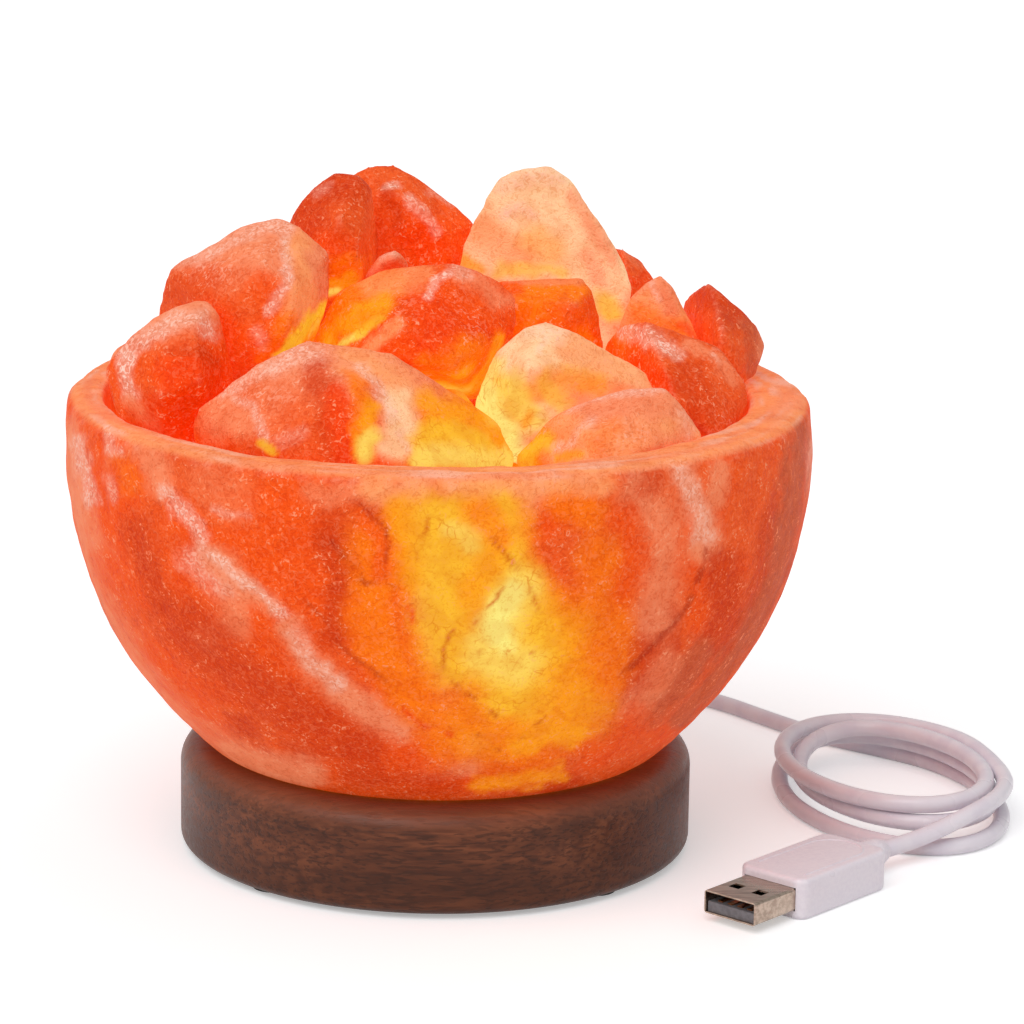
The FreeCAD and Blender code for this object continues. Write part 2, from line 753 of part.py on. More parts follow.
# Chunks that the ones above hide from the front: centre, half sizes (x, y, z) and a turn in degrees.
HIDDEN_CHUNKS = [
    ("chunk_rear_left", (-60, 52, -6), (32, 30, 34), 20),
    ("chunk_rear_middle", (-20, 78, 0), (34, 22, 36), 70),
    ("chunk_rear_right", (26, 78, 0), (32, 22, 34), 150),
    ("chunk_rear_far_right", (72, 50, -12), (28, 30, 30), 240),
    ("chunk_deep_left", (-62, 2, -46), (32, 34, 42), 10),
    ("chunk_deep_front_left", (-38, -46, -54), (32, 28, 40), 55),
    ("chunk_deep_front_right", (26, -52, -54), (32, 28, 40), 100),
    ("chunk_deep_right", (62, -10, -46), (30, 32, 40), 160),
    ("chunk_deep_back_right", (46, 46, -48), (32, 30, 42), 210),
    ("chunk_deep_back_left", (-26, 56, -48), (34, 30, 42), 300),
]


def cross_plane(a, b, c):
    """Unit normal and offset of the plane through three points, or None if they are in line."""
    normal = (b - a).cross(c - a)
    if normal.Length < 1e-6:
        return None
    normal.normalize()
    return normal, normal.dot(a)


def hull(points):
    """Convex solid round a few points, from the triangles that have every point on one side."""
    triangles = []
    for i, a in enumerate(points):
        for j in range(i + 1, len(points)):
            for k in range(j + 1, len(points)):
                plane = cross_plane(a, points[j], points[k])
                if plane is None:
                    continue
                sides = [plane[0].dot(p) - plane[1] for p in points]
                if max(sides) < 1e-6 or min(sides) > -1e-6:
                    triangles.append((a, points[j], points[k]))
    faces = [Part.Face(Part.makePolygon([a, b, c, a])) for a, b, c in triangles]
    solid = Part.Solid(Part.Shell(faces))
    if solid.Volume < 0:
        solid.reverse()
    return solid


def uneven(index, low, high):
    """Repeatable value between low and high that differs from point to point."""
    return low + (high - low) * (0.5 + 0.5 * math.sin(2.4 * index + 0.7))


def visible_points(at, depth, outline, ridges):
    """Outline at its own depth, ridge points in front and an uneven smaller outline behind."""
    middle_x = sum(x for x, _ in outline) / len(outline)
    middle_z = sum(z for _, z in outline) / len(outline)
    points = [(x, at + uneven(i, -2, 2), z) for i, (x, z) in enumerate(outline)]
    points += ridges
    for i, (x, z) in enumerate(outline[::2]):
        share = uneven(i, 0.45, 0.7)
        back = at + depth * uneven(i + 3, 0.8, 1.0)
        points.append((middle_x + (x - middle_x) * share, back, middle_z + (z - middle_z) * share))
    return points


def hidden_points(centre, half, turn):
    """Uneven egg of four rings of points."""
    points = []
    for level, (height, width) in enumerate(((-1.0, 0.5), (-0.4, 0.95), (0.4, 1.0), (1.0, 0.45))):
        for corner in range(6):
            angle = math.radians(turn + 60 * corner + 28 * level)
            reach = width * uneven(corner + 5 * level + turn, 0.85, 1.0)
            points.append((centre[0] + half[0] * reach * math.cos(angle),
                           centre[1] + half[1] * reach * math.sin(angle),
                           centre[2] + half[2] * (height + 0.12 * math.sin(corner * 1.9 + level))))
    return points


def in_hollow(points):
    """Turns hundredths of the hollow's radius into millimetres in the lamp's frame."""
    unit = hollow_radius.value / 100
    origin = FreeCAD.Vector(-d.hollow_offset.value, 0, rim_height.value)
    return [origin + FreeCAD.Vector(x, y, z) * unit for x, y, z in points]


def outward_planes(solid):
    """Normal and offset of each flat face, pointing out of the solid."""
    centre = solid.CenterOfMass
    planes = []
    for face in solid.Faces:
        plane = cross_plane(*[vertex.Point for vertex in face.Vertexes[:3]])
        if plane is None:
            continue
        normal, offset = plane
        if normal.dot(centre) > offset:
            normal, offset = normal * -1, -offset
        planes.append((normal, offset))
    return planes


def cut_behind(solid, normal, offset):
    """Keeps the part of the solid that lies beyond the plane."""
    reach = 8 * hollow_radius.value
    block = Part.makeBox(reach, reach, reach, FreeCAD.Vector(-reach / 2, -reach / 2, 0))
    block.Placement = FreeCAD.Placement(normal * offset, FreeCAD.Rotation(FreeCAD.Vector(0, 0, 1), normal),
                                        FreeCAD.Vector())
    return solid.common(block).Solids[0]


def lean_on(solid, planes):
    """Trims the solid by the one plane of its neighbour that takes least away, with a little play."""
    gap = d.chunk_gap.value
    corners = [vertex.Point for vertex in solid.Vertexes]
    sunk = [(offset + gap - min(normal.dot(p) for p in corners), normal, offset) for normal, offset in planes]
    depth, normal, offset = min(sunk, key=lambda item: item[0])
    return cut_behind(solid, normal, offset + gap) if depth > 0 else solid


def bulb_room_planes():
    """Flat faces round the space that the bulb needs, also while it is unscrewed."""
    top = glass_tip.value + d.unscrew_travel.value + d.bulb_room_above.value
    planes = [(FreeCAD.Vector(0, 0, 1), top)]
    for side in range(16):
        turn = 2 * math.pi * side / 16
        planes.append((FreeCAD.Vector(math.cos(turn), math.sin(turn), 0), d.bulb_room_radius.value))
    return planes


def salt_chunks():
    doc.recompute()
    room = hollow_tool("chunk_room", d.chunk_gap, d.rim_radius)
    doc.recompute()
    settled = [bulb_room_planes()]
    shapes = [(name, visible_points(at, depth, outline, ridges))
              for name, at, depth, outline, ridges in VISIBLE_CHUNKS]
    shapes += [(name, hidden_points(centre, half, turn)) for name, centre, half, turn in HIDDEN_CHUNKS]
    for name, points in shapes:
        solid = hull(in_hollow(points))
        whole = solid.Volume
        for planes in settled:
            solid = lean_on(solid, planes)
        settled.append(outward_planes(solid))
        solid = solid.common(room.Shape)
        print(name, "keeps", round(solid.Volume / whole, 2), "solids", len(solid.Solids))
        feature = doc.addObject("Part::Feature", name)
        feature.Shape = solid.Solids[0]
        keep(name, feature)


# ---------------------------------------------------------------- lead, grommet and clamp

grommet_face = d.base_radius - d.grommet_seat
cord_exit = grommet_face + d.grommet_flange

# Free lead on the table, from the grommet round the back to the coil: x, y, z of each corner.
COIL_CENTRE = (91.5, 24.5)
COIL_TURN = -75.0
COIL_LAYERS = [(34.0, 20.4, -1.8), (30.0, 20.4, -0.2), (27.6, 19.4, 0.8)]


def lead_route():
    """Corners of the free lead from the grommet to the coil."""
    y, z, floor = cord_exit.value, cord_height.value, d.cord_radius.value
    return [(0, y, z), (0, y + 15, z), (2, y + 30, z - 4.2), (7, y + 45, floor), (20, y + 55, floor),
            (36, y + 57, floor), (50, y + 50, floor), (61.6, 90.6, floor), (69.6, 80.0, floor),
            (77, 67.9, floor), (82, 55, floor)]


def cord_pieces():
    inner = cylinder("cord_inner", d.cord_radius, cord_exit - d.cord_inner_start,
                     (0.0, d.cord_inner_start, cord_height), FreeCAD.Vector(1, 0, 0), -90.0)
    keep("cord_inner", inner)
    _, free = tube("cord_lead", lead_route(), d.cord_radius.value)
    return free


def grommet():
    """Rubber bush in the hole, with a flange on the seat and a tapered nose along the lead."""
    bore = d.cord_radius + d.cord_play
    length = grommet_face - d.recess_radius
    flange = d.grommet_flange
    body = turned_body("cord_grommet", [
        (bore, -length),
        (d.grommet_radius, -length),
        (d.grommet_radius, 0.0),
        (d.grommet_flange_radius, 0.0),
        (d.grommet_flange_radius, flange),
        (d.grommet_radius, flange),
        (d.grommet_nose_radius, flange + d.grommet_nose),
        (bore, flange + d.grommet_nose),
    ])
    return keep("cord_grommet", place(body, (0.0, grommet_face, cord_height), FreeCAD.Vector(1, 0, 0), -90.0))


def clamp():
    """Saddle that holds the lead against the recess's ceiling, with an ear on each side."""
    width, wall = d.clamp_width, d.clamp_wall
    y = d.clamp_place - width / 2
    inner = d.cord_radius + d.cord_play
    outer = inner + wall
    ears = box("clamp_ears", d.clamp_span, width, wall, (-(d.clamp_span / 2), y, recess_top - wall))
    hump = cylinder("clamp_hump", outer, width, (0.0, y, cord_height), FreeCAD.Vector(1, 0, 0), -90.0)
    upper = box("clamp_above", d.clamp_span, width + 2, outer * 2,
                (-(d.clamp_span / 2), y - 1, recess_top))
    cord = cylinder("clamp_cord", inner, width + 2, (0.0, y - 1, cord_height), FreeCAD.Vector(1, 0, 0), -90.0)
    slot = box("clamp_slot", inner * 2, width + 2, outer * 2, (-inner, y - 1, cord_height))
    holes = []
    for side in (-1, 1):
        holes.append(cylinder(f"clamp_hole_{side + 1}", d.screw_head_radius + d.slip, wall + 2,
                              (d.clamp_screw_spacing * (side / 2), d.clamp_place, recess_top - wall - 1)))
    solid = fuse("clamp_solid", [ears, hump])
    tools = fuse("clamp_tools", [upper, cord, slot] + holes)
    return keep("cord_clamp", cut("cord_clamp", solid, tools))


def holder_leads():
    """Two thin wires from the end of the jacket to the holder's tail."""
    radius = d.lead_radius.value
    spread = 2.8
    tail = math.sqrt(d.holder_tail_radius.value ** 2 - (spread - radius) ** 2) + 0.05
    z, low = cord_height.value, holder_bottom.value + 1.6
    start = d.cord_inner_start.value - 0.4
    for name, side in (("lead_positive", 1), ("lead_negative", -1)):
        tube(name, [(0.75 * side, start, z), (0.9 * side, start - 1.5, z - 0.8),
                    (1.5 * side, start - 3.8, z - 2.2), (2.6 * side, start - 7.0, low),
                    (spread * side, tail, low)], radius)


def coil():
    """Outer shape of the loose coil: three oval layers that fan out towards the table."""
    layers = []
    thick = 2 * d.cord_radius.value
    centre = FreeCAD.Vector(COIL_CENTRE[0], COIL_CENTRE[1], 0)
    for level, (long, short, shift) in enumerate(COIL_LAYERS):
        base = centre + FreeCAD.Vector(0, shift, thick * level)
        half = d.cord_radius.value
        faces = []
        for grow in (half, -half):
            ellipse = Part.Ellipse(FreeCAD.Vector(), long + grow, short + grow)
            faces.append(Part.Face(Part.Wire([ellipse.toShape()])))
        ring = faces[0].cut(faces[1]).extrude(FreeCAD.Vector(0, 0, thick))
        ring.Placement = FreeCAD.Placement(base, FreeCAD.Rotation(FreeCAD.Vector(0, 0, 1), COIL_TURN))
        layers.append(ring)
    shape = layers[0].multiFuse(layers[1:]).removeSplitter()
    feature = doc.addObject("Part::Feature", "cord_coil")
    feature.Shape = shape.Solids[0] if shape.Solids else shape
    print("cord_coil solids", len(shape.Solids))
    return keep("cord_coil", feature)


# ---------------------------------------------------------------- plug
# Built with its mouth at x = 0 and its cable along +X, then turned to its heading on the table.

plug_height = d.overmould_thick / 2
upright = FreeCAD.Vector(0, 0, 1)


def lay_down(label, target):
    return keep(label, place(target, (d.plug_x, d.plug_y, plug_height), upright, d.plug_heading))


def bar(name, width, height, start, length, middle=0.0):
    """Body of rectangular section along X, from start."""
    body = doc.addObject("PartDesign::Body", name)
    sketch = sketch_on(body, "YZ_Plane", name + "_section", start)
    draw_rectangle(sketch, Size.of(0.0), Size.of(middle), width, height)
    pad = body.newObject("PartDesign::Pad", name + "_pad")
    pad.Profile = (sketch, [""])
    bind(pad, "Length", length)
    doc.recompute()
    return body


def plug_shell():
    along = d.shell_free_length + d.shell_held_length
    body = bar("plug_shell", d.shell_width, d.shell_thick, 0.0, along)
    round_edges(body, "shell_round", d.shell_wall * 2, runs_along(FreeCAD.Vector(1, 0, 0)))
    mouth = sketch_on(body, "YZ_Plane", "shell_mouth", 0.0)
    draw_rectangle(mouth, Size.of(0.0), Size.of(0.0), d.shell_width - d.shell_wall * 2,
                   d.shell_thick - d.shell_wall * 2)
    cut_down(body, mouth, along - d.shell_wall, True)
    for side in (-1, 1):
        window = sketch_on(body, "XY_Plane", f"shell_window_{side + 1}", d.shell_thick)
        draw_rectangle(window, d.window_from_mouth, d.window_spacing * (side / 2), d.window_side, d.window_side)
        cut_down(body, window, d.shell_thick * 2)
    return lay_down("plug_shell", body)


def plug_tongue():
    """Insulator that lies in the lower half of the mouth and carries the four contacts."""
    low = -(d.shell_thick / 2) + d.shell_wall
    length = d.shell_free_length + d.shell_held_length - d.shell_wall - d.tongue_back
    width = d.shell_width - d.shell_wall * 2 - d.slip * 2
    lay_down("plug_tongue", bar("plug_tongue", width, d.tongue_thick, d.tongue_back, length, low + d.tongue_thick / 2))
    strips = []
    for number, place_across in enumerate((-1.5, -0.5, 0.5, 1.5), start=1):
        y = d.contact_pitch * place_across - d.contact_strip_width / 2
        strips.append(box(f"contact_strip_{number}", length - 2.0, d.contact_strip_width, d.contact_strip_thick,
                          (d.tongue_back + 1.0, y, low + d.tongue_thick)))
    lay_down("plug_contacts", group("plug_contacts", strips))


def plug_overmould():
    body = bar("plug_overmould", d.overmould_width, d.overmould_thick, d.shell_free_length, d.overmould_length)
    round_edges(body, "overmould_corner", d.overmould_side_round, runs_along(upright))
    half = d.overmould_thick.value / 2
    round_edges(body, "overmould_edge", d.overmould_edge_round,
                lambda edge: abs(abs(edge.CenterOfMass.z) - half) < 0.01)
    pocket = sketch_on(body, "YZ_Plane", "shell_pocket", d.shell_free_length)
    draw_rectangle(pocket, Size.of(0.0), Size.of(0.0), d.shell_width + d.slip / 2, d.shell_thick + d.slip / 2)
    cut_down(body, pocket, d.shell_held_length + d.slip, True)
    return lay_down("plug_overmould", body)


def plug_relief():
    """Short sleeve behind the overmould, grooved round so that it bends."""
    start = d.shell_free_length + d.overmould_length
    body = turned_body("plug_relief", [(0.0, 0.0), (d.relief_radius, 0.0),
                                       (d.relief_radius, d.relief_length * 0.7),
                                       (d.cord_radius + 0.5, d.relief_length), (0.0, d.relief_length)])
    heading = math.radians(d.plug_heading.value)
    direction = FreeCAD.Vector(math.cos(heading), math.sin(heading), 0)
    body.Placement = FreeCAD.Placement(FreeCAD.Vector(), FreeCAD.Rotation(upright, direction))
    for letter, value in zip("xyz", (d.plug_x + start * math.cos(heading), d.plug_y + start * math.sin(heading),
                                     plug_height)):
        bind(body, f"Placement.Base.{letter}", value)
    return keep("plug_relief", body)


def tail_route():
    """Corners of the lead from the plug's sleeve back up onto the coil."""
    heading = math.radians(d.plug_heading.value)
    along_x, along_y = math.cos(heading), math.sin(heading)
    reach = (d.shell_free_length + d.overmould_length + d.relief_length).value
    x, y = d.plug_x.value + reach * along_x, d.plug_y.value + reach * along_y
    z = plug_height.value
    return [(x, y, z), (x + 9 * along_x, y + 9 * along_y, z), (x + 12.8, y + 12.6, z + 1.4),
            (x + 19.4, y + 18.2, z + 1.2)]


def export_parts():
    doc.recompute()
    for item in doc.Objects:
        if "Invalid" in item.State or "Error" in item.State:
            raise RuntimeError(f"{item.Label} failed: {item.State}")
    os.makedirs("parts", exist_ok=True)
    for label, item in nodes.items():
        if item.Shape.isNull() or not item.Shape.isValid() or not item.Shape.Solids:
            raise RuntimeError(f"{label} has no valid shape")
        item.Shape.exportStep(f"parts/{label}.step")
    print(len(nodes), "nodes")


wood_base()
rubber_feet()
bottom_cover()
screw_set("cover_screws", [ring_point(d.cover_screw_ring, 150 + 120 * n) for n in range(3)], wood_bottom)
holder()
holder_metal()
screw_set("holder_screws", [ring_point(d.holder_screw_ring, 180 * n) for n in range(2)], flange_bottom)
bulb()
salt_bowl()
salt_chunks()
cord_pieces()
grommet()
clamp()
screw_set("clamp_screws", [(d.clamp_screw_spacing * (side / 2), d.clamp_place) for side in (-1, 1)],
          recess_top - d.clamp_wall)
holder_leads()
coil()
plug_shell()
plug_tongue()
plug_overmould()
plug_relief()
tube("cord_tail", tail_route(), d.cord_radius.value)
export_parts()
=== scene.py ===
import itertools
import json
import math

import bpy
import numpy as np
from mathutils import Matrix, Vector


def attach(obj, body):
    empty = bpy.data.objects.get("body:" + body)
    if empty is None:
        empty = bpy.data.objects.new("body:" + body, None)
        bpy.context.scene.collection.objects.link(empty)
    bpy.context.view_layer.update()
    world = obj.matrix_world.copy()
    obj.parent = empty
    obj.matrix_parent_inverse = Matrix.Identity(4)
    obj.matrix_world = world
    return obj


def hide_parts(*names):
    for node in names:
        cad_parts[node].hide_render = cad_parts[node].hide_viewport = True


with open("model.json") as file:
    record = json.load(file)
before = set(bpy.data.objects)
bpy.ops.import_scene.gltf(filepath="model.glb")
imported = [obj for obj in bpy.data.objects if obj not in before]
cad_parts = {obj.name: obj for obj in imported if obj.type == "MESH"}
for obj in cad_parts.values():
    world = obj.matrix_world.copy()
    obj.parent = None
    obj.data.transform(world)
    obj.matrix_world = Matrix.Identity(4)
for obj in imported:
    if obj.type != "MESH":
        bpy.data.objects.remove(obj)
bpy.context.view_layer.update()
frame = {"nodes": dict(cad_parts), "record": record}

MM = 0.001


def new_object(name, data):
    """An object with that data, in the scene."""
    made = bpy.data.objects.new(name, data)
    bpy.context.scene.collection.objects.link(made)
    return made


# ------------------------ the view

CAMERA_PLACE = Vector((0.0, -0.8276, 0.2718))
CAMERA_PITCH = 0.2436
CAMERA_YAW = 0.0171
CAMERA_ROLL = 0.0160
FOCAL_PIXELS = 4421.25
PICTURE_PIXELS = 1024
SENSOR_WIDTH = 36.0


def camera_axes():
    """The directions to the picture's right, to its top and into it."""
    ahead = Vector((
        math.sin(CAMERA_YAW) * math.cos(CAMERA_PITCH),
        math.cos(CAMERA_YAW) * math.cos(CAMERA_PITCH),
        -math.sin(CAMERA_PITCH),
    ))
    level = Vector((math.cos(CAMERA_YAW), -math.sin(CAMERA_YAW), 0.0))
    upright = level.cross(ahead)
    right = math.cos(CAMERA_ROLL) * level + math.sin(CAMERA_ROLL) * upright
    up = math.cos(CAMERA_ROLL) * upright - math.sin(CAMERA_ROLL) * level
    return right, up, ahead


def make_camera():
    """The photograph's camera: a long lens, a little above the lamp, looking down at it."""
    right, up, ahead = camera_axes()
    data = bpy.data.cameras.new("photo_camera")
    data.sensor_width = SENSOR_WIDTH
    data.lens = SENSOR_WIDTH * FOCAL_PIXELS / PICTURE_PIXELS
    data.clip_start = 0.05
    data.clip_end = 50.0
    camera = new_object("photo_camera", data)
    turn = Matrix((right, up, -ahead)).transposed().to_4x4()
    camera.matrix_world = Matrix.Translation(CAMERA_PLACE) @ turn
    bpy.context.scene.camera = camera


def picture_places(points):
    """Where each point lies in the photograph, in its pixels."""
    right, up, ahead = (np.array(axis) for axis in camera_axes())
    away = points - np.array(CAMERA_PLACE)
    depth = away @ ahead
    middle = PICTURE_PIXELS / 2
    return np.stack([
        middle + FOCAL_PIXELS * (away @ right) / depth,
        middle - FOCAL_PIXELS * (away @ up) / depth,
    ], axis=1)


# ------------------------ the cord

CORD_DIAMETER = 0.0034

# from the grommet at the back of the base, down to the floor, round the lamp and into the coil
LEAD_ROUTE = [
    (0.0000, 0.0506, 0.0098),
    (0.0000, 0.0656, 0.0098),
    (0.0020, 0.0806, 0.0056),
    (0.0070, 0.0956, 0.0017),
    (0.0200, 0.1056, 0.0017),
    (0.0360, 0.1076, 0.0017),
    (0.0500, 0.1006, 0.0017),
    (0.0616, 0.0906, 0.0017),
    (0.0696, 0.0800, 0.0017),
    (0.0790, 0.0680, 0.0017),
]

COIL_CENTRE = (0.0915, 0.0245)
COIL_TURN = math.radians(-75)
COIL_POINTS_PER_LAP = 16
COIL_FIRST_ANGLE = math.radians(150)
COIL_LAST_ANGLE = math.radians(-990)
COIL_BACK_ANGLE = math.radians(180)
COIL_CLIMB_SHARE = 0.2

# for the start of each lap: half the length, half the width, height of the cord's middle
COIL_LAPS = [
    (0.0350, 0.0212, 0.0017),
    (0.0326, 0.0206, 0.0052),
    (0.0256, 0.0164, 0.0087),
    (0.0306, 0.0218, 0.0087),
    (0.0318, 0.0236, 0.0087),
]

# from the coil's right side, round its front and down to the plug's sleeve
TAIL_ROUTE = [
    (0.1140, 0.0190, 0.0084),
    (0.1132, 0.0094, 0.0084),
    (0.1096, 0.0006, 0.0084),
    (0.1036, -0.0062, 0.0076),
    (0.0975, -0.0102, 0.0058),
    (0.0920, -0.0130, 0.0044),
    (0.0862, -0.0171, 0.0040),
]


def coil_point(angle):
    """A point of the coil; the angle falls as the cord runs, seen from above, clockwise."""
    laps_done = max(0.0, (COIL_BACK_ANGLE - angle) / (2 * math.pi))
    lap = int(laps_done)
    share = laps_done - lap
    here = COIL_LAPS[lap]
    after = COIL_LAPS[lap + 1]
    climb = max(0.0, (share - 1 + COIL_CLIMB_SHARE) / COIL_CLIMB_SHARE)
    half_length = here[0] + share * (after[0] - here[0])
    half_width = here[1] + share * (after[1] - here[1])
    height = here[2] + climb * (after[2] - here[2])
    along = half_length * math.cos(angle)
    across = half_width * math.sin(angle)
    return (
        COIL_CENTRE[0] + along * math.cos(COIL_TURN) - across * math.sin(COIL_TURN),
        COIL_CENTRE[1] + along * math.sin(COIL_TURN) + across * math.cos(COIL_TURN),
        height,
    )


def coil_route():
    """The coil's turns, as evenly spaced points of the cord's own line."""
    step = 2 * math.pi / COIL_POINTS_PER_LAP
    count = int((COIL_FIRST_ANGLE - COIL_LAST_ANGLE) / step) + 1
    return [coil_point(COIL_FIRST_ANGLE - number * step) for number in range(count)]


CORD_ROUNDNESS = 5
OUTLINE_ROUNDNESS = 2
CURVE_STEPS = 6


def tube(name, kind, route, radius, roundness):
    """A round tube of one radius along a line of points."""
    data = bpy.data.curves.new(name, "CURVE")
    data.dimensions = "3D"
    data.bevel_depth = 1.0
    data.bevel_resolution = roundness
    data.resolution_u = CURVE_STEPS
    data.use_fill_caps = True
    line = data.splines.new(kind)
    line.points.add(len(route) - 1)
    for point, place in zip(line.points, route):
        point.co = (*place, 1.0)
        point.radius = radius
    return new_object(name, data)


def make_cord():
    """The white lead, as one smooth line from the base to the plug."""
    route = LEAD_ROUTE + coil_route() + TAIL_ROUTE
    cord = tube("power_lead", "NURBS", route, CORD_DIAMETER / 2, CORD_ROUNDNESS)
    line = cord.data.splines[0]
    line.order_u = 3
    line.use_endpoint_u = True
    return cord


OUTLINE_RADIUS = 0.28 * MM
OUTLINE_SINK = 0.10 * MM
OUTLINE_FROM_SIDE = 2.2 * MM
OUTLINE_FROM_END = 2.0 * MM
OUTLINE_FROM_SHELL = 3.5 * MM
OUTLINE_ARC_POINTS = 17
PLUG_HEADING = math.radians(48)


def make_plug_outline():
    """The raised line on the plug's grip: along both sides and round the end where the cord comes in."""
    grip = frame["nodes"]["plug_overmould"]
    along = Vector((math.cos(PLUG_HEADING), math.sin(PLUG_HEADING), 0.0))
    across = Vector((-along.y, along.x, 0.0))
    corners = [grip.matrix_world @ vertex.co for vertex in grip.data.vertices]
    spans = [corner.dot(along) for corner in corners]
    sides = [corner.dot(across) for corner in corners]
    middle = (min(sides) + max(sides)) / 2
    half = (max(sides) - min(sides)) / 2 - OUTLINE_FROM_SIDE
    start = min(spans) + OUTLINE_FROM_SHELL
    turn = max(spans) - OUTLINE_FROM_END - half
    flat = [(start, half)]
    for number in range(OUTLINE_ARC_POINTS):
        angle = math.radians(90) - math.pi * number / (OUTLINE_ARC_POINTS - 1)
        flat.append((turn + half * math.cos(angle), half * math.sin(angle)))
    flat.append((start, -half))
    height = Vector((0.0, 0.0, max(corner.z for corner in corners) - OUTLINE_SINK))
    route = [along * span + across * (middle + side) + height for span, side in flat]
    return tube("plug_outline", "POLY", route, OUTLINE_RADIUS, OUTLINE_ROUNDNESS)


# ------------------------ colours


def linear(red, green, blue):
    """A colour as a picture writes it, 0 to 255, in the shader's own linear numbers."""
    written = (red / 255, green / 255, blue / 255)
    return tuple(part / 12.92 if part <= 0.04045 else ((part + 0.055) / 1.055) ** 2.4 for part in written)


DARK_EDGE = linear(178, 46, 14)
DEEP_RED = linear(216, 66, 16)
RED = linear(236, 90, 34)
ORANGE_RED = linear(244, 84, 16)
FIRE = linear(244, 68, 6)
ORANGE = linear(252, 120, 10)
CORAL = linear(242, 114, 68)
AMBER = linear(253, 158, 20)
GOLD = linear(254, 190, 46)
YELLOW = linear(255, 214, 92)
BRIGHT = linear(255, 238, 128)
CRACK = linear(206, 92, 8)
SALMON = linear(242, 138, 96)
PEACH = linear(250, 158, 100)
PALE = linear(252, 206, 156)
# painted shade colour for the dim right-hand edges
SHADED_RED = linear(202, 90, 54)
FROST = linear(240, 186, 166)
WARM_FLECK = linear(249, 152, 112)
WHITE_FLECK = linear(250, 212, 196)
LIT_CRACK = linear(222, 118, 14)
WALNUT = linear(86, 46, 28)
WALNUT_LIGHT = linear(126, 72, 46)
WALNUT_STREAK = linear(72, 37, 22)
WALNUT_PORE = linear(52, 29, 19)
# a painted highlight for the base's rounded top edge and painted shade for the bottom of its side
WALNUT_HIGHLIGHT = linear(166, 104, 78)
WALNUT_SHADE = linear(58, 29, 15)


# ------------------------ noise and lines on meshes


def lattice_value(cells, seed):
    """A repeatable number from 0 to 1 for each whole-number cell."""
    mixed = cells[:, 0] * 374761393 + cells[:, 1] * 668265263 + cells[:, 2] * 974634777 + seed * 1274126177
    mixed = (mixed ^ (mixed >> 13)) * 1103515245
    mixed = mixed ^ (mixed >> 16)
    return (mixed & 0xFFFF) / 65535.0


def soft_noise(points, size, seed):
    """Smooth noise from -1 to 1, whose lumps are about one size across."""
    scaled = points / size
    cells = np.floor(scaled).astype(np.int64)
    part = scaled - cells
    part = part * part * (3 - 2 * part)
    total = np.zeros(len(points))
    for corner in itertools.product((0, 1), repeat=3):
        weight = np.prod(np.where(corner, part, 1 - part), axis=1)
        total += weight * lattice_value(cells + np.array(corner), seed)
    return 2 * total - 1


def rising(value, low, high):
    """0 below low, 1 above high and a smooth step between."""
    share = np.clip((value - low) / (high - low), 0, 1)
    return share * share * (3 - 2 * share)


def distance_to_line(points, line):
    """Each point's distance to the nearest place on a line of straight runs."""
    nearest = np.full(len(points), np.inf)
    for start, end in zip(line[:-1], line[1:]):
        run = end - start
        share = np.clip((points - start) @ run / (run @ run), 0, 1)
        nearest = np.minimum(nearest, np.linalg.norm(points - start - share[:, None] * run, axis=1))
    return nearest


def blend(first, second, share):
    """Colours between two, one for each point."""
    return first * (1 - share[:, None]) + np.array(second) * share[:, None]


FROST_COVER = 0.6
NARROW_STROKE = 4.0


def paint(points, facing, tone, frost, strokes, seed):
    """Lays strokes of colour on what the photograph shows of a piece, with ragged edges.

    A stroke is a colour, a half width in pixels, a strength and a line of pixel places.
    FROST also adds white flecks, and a narrow stroke is broken up like a crack."""
    ragged = np.stack([
        4.5 * soft_noise(points, 3.5 * MM, seed) + 3.0 * soft_noise(points, 1.3 * MM, seed + 1),
        4.5 * soft_noise(points, 3.5 * MM, seed + 2) + 3.0 * soft_noise(points, 1.3 * MM, seed + 3),
    ], axis=1)
    seen = picture_places(points)
    toward = rising(-facing @ np.array(camera_axes()[2]), 0.0, 0.25)
    for colour, width, strength, line in strokes:
        places = [np.array(place, dtype=float) for place in line]
        places = places if len(places) > 1 else [places[0], places[0] + 0.5]
        away = distance_to_line(seen + min(1.0, width / 8) * ragged, places) / width
        share = strength * toward * (1 - rising(away, 0.3, 1.5))
        if width < NARROW_STROKE:
            share = share * rising(soft_noise(points, 2.6 * MM, seed + 4), -0.5, 0.2)
        tone = blend(tone, colour, share * (FROST_COVER if colour is FROST else 1.0))
        if colour is FROST:
            frost = np.maximum(frost, share)
        else:
            frost = frost * (1 - share)
    return tone, frost


# ------------------------ cut and weathered salt


def remeshed(node, voxel):
    """A CAD node's shape, cut into even faces about one voxel wide."""
    source = new_object("shape_source", frame["nodes"][node].data.copy())
    grid = source.modifiers.new("grid", "REMESH")
    grid.mode = "VOXEL"
    grid.voxel_size = voxel
    shape = bpy.data.meshes.new_from_object(source.evaluated_get(bpy.context.evaluated_depsgraph_get()))
    bpy.data.objects.remove(source)
    shape.materials.clear()
    return shape


def read_points(mesh):
    """A mesh's vertices, one row each."""
    flat = np.empty(3 * len(mesh.vertices))
    mesh.vertices.foreach_get("co", flat)
    return flat.reshape(-1, 3)


def write_points(mesh, points):
    """Moves a mesh's vertices."""
    mesh.vertices.foreach_set("co", points.ravel())
    mesh.update()


def read_normals(mesh):
    """The direction each vertex faces."""
    flat = np.empty(3 * len(mesh.vertices))
    mesh.vertices.foreach_get("normal", flat)
    return flat.reshape(-1, 3)


def read_edges(mesh):
    """The two vertices of each edge."""
    flat = np.empty(2 * len(mesh.edges), dtype=np.int32)
    mesh.edges.foreach_get("vertices", flat)
    return flat.reshape(-1, 2)


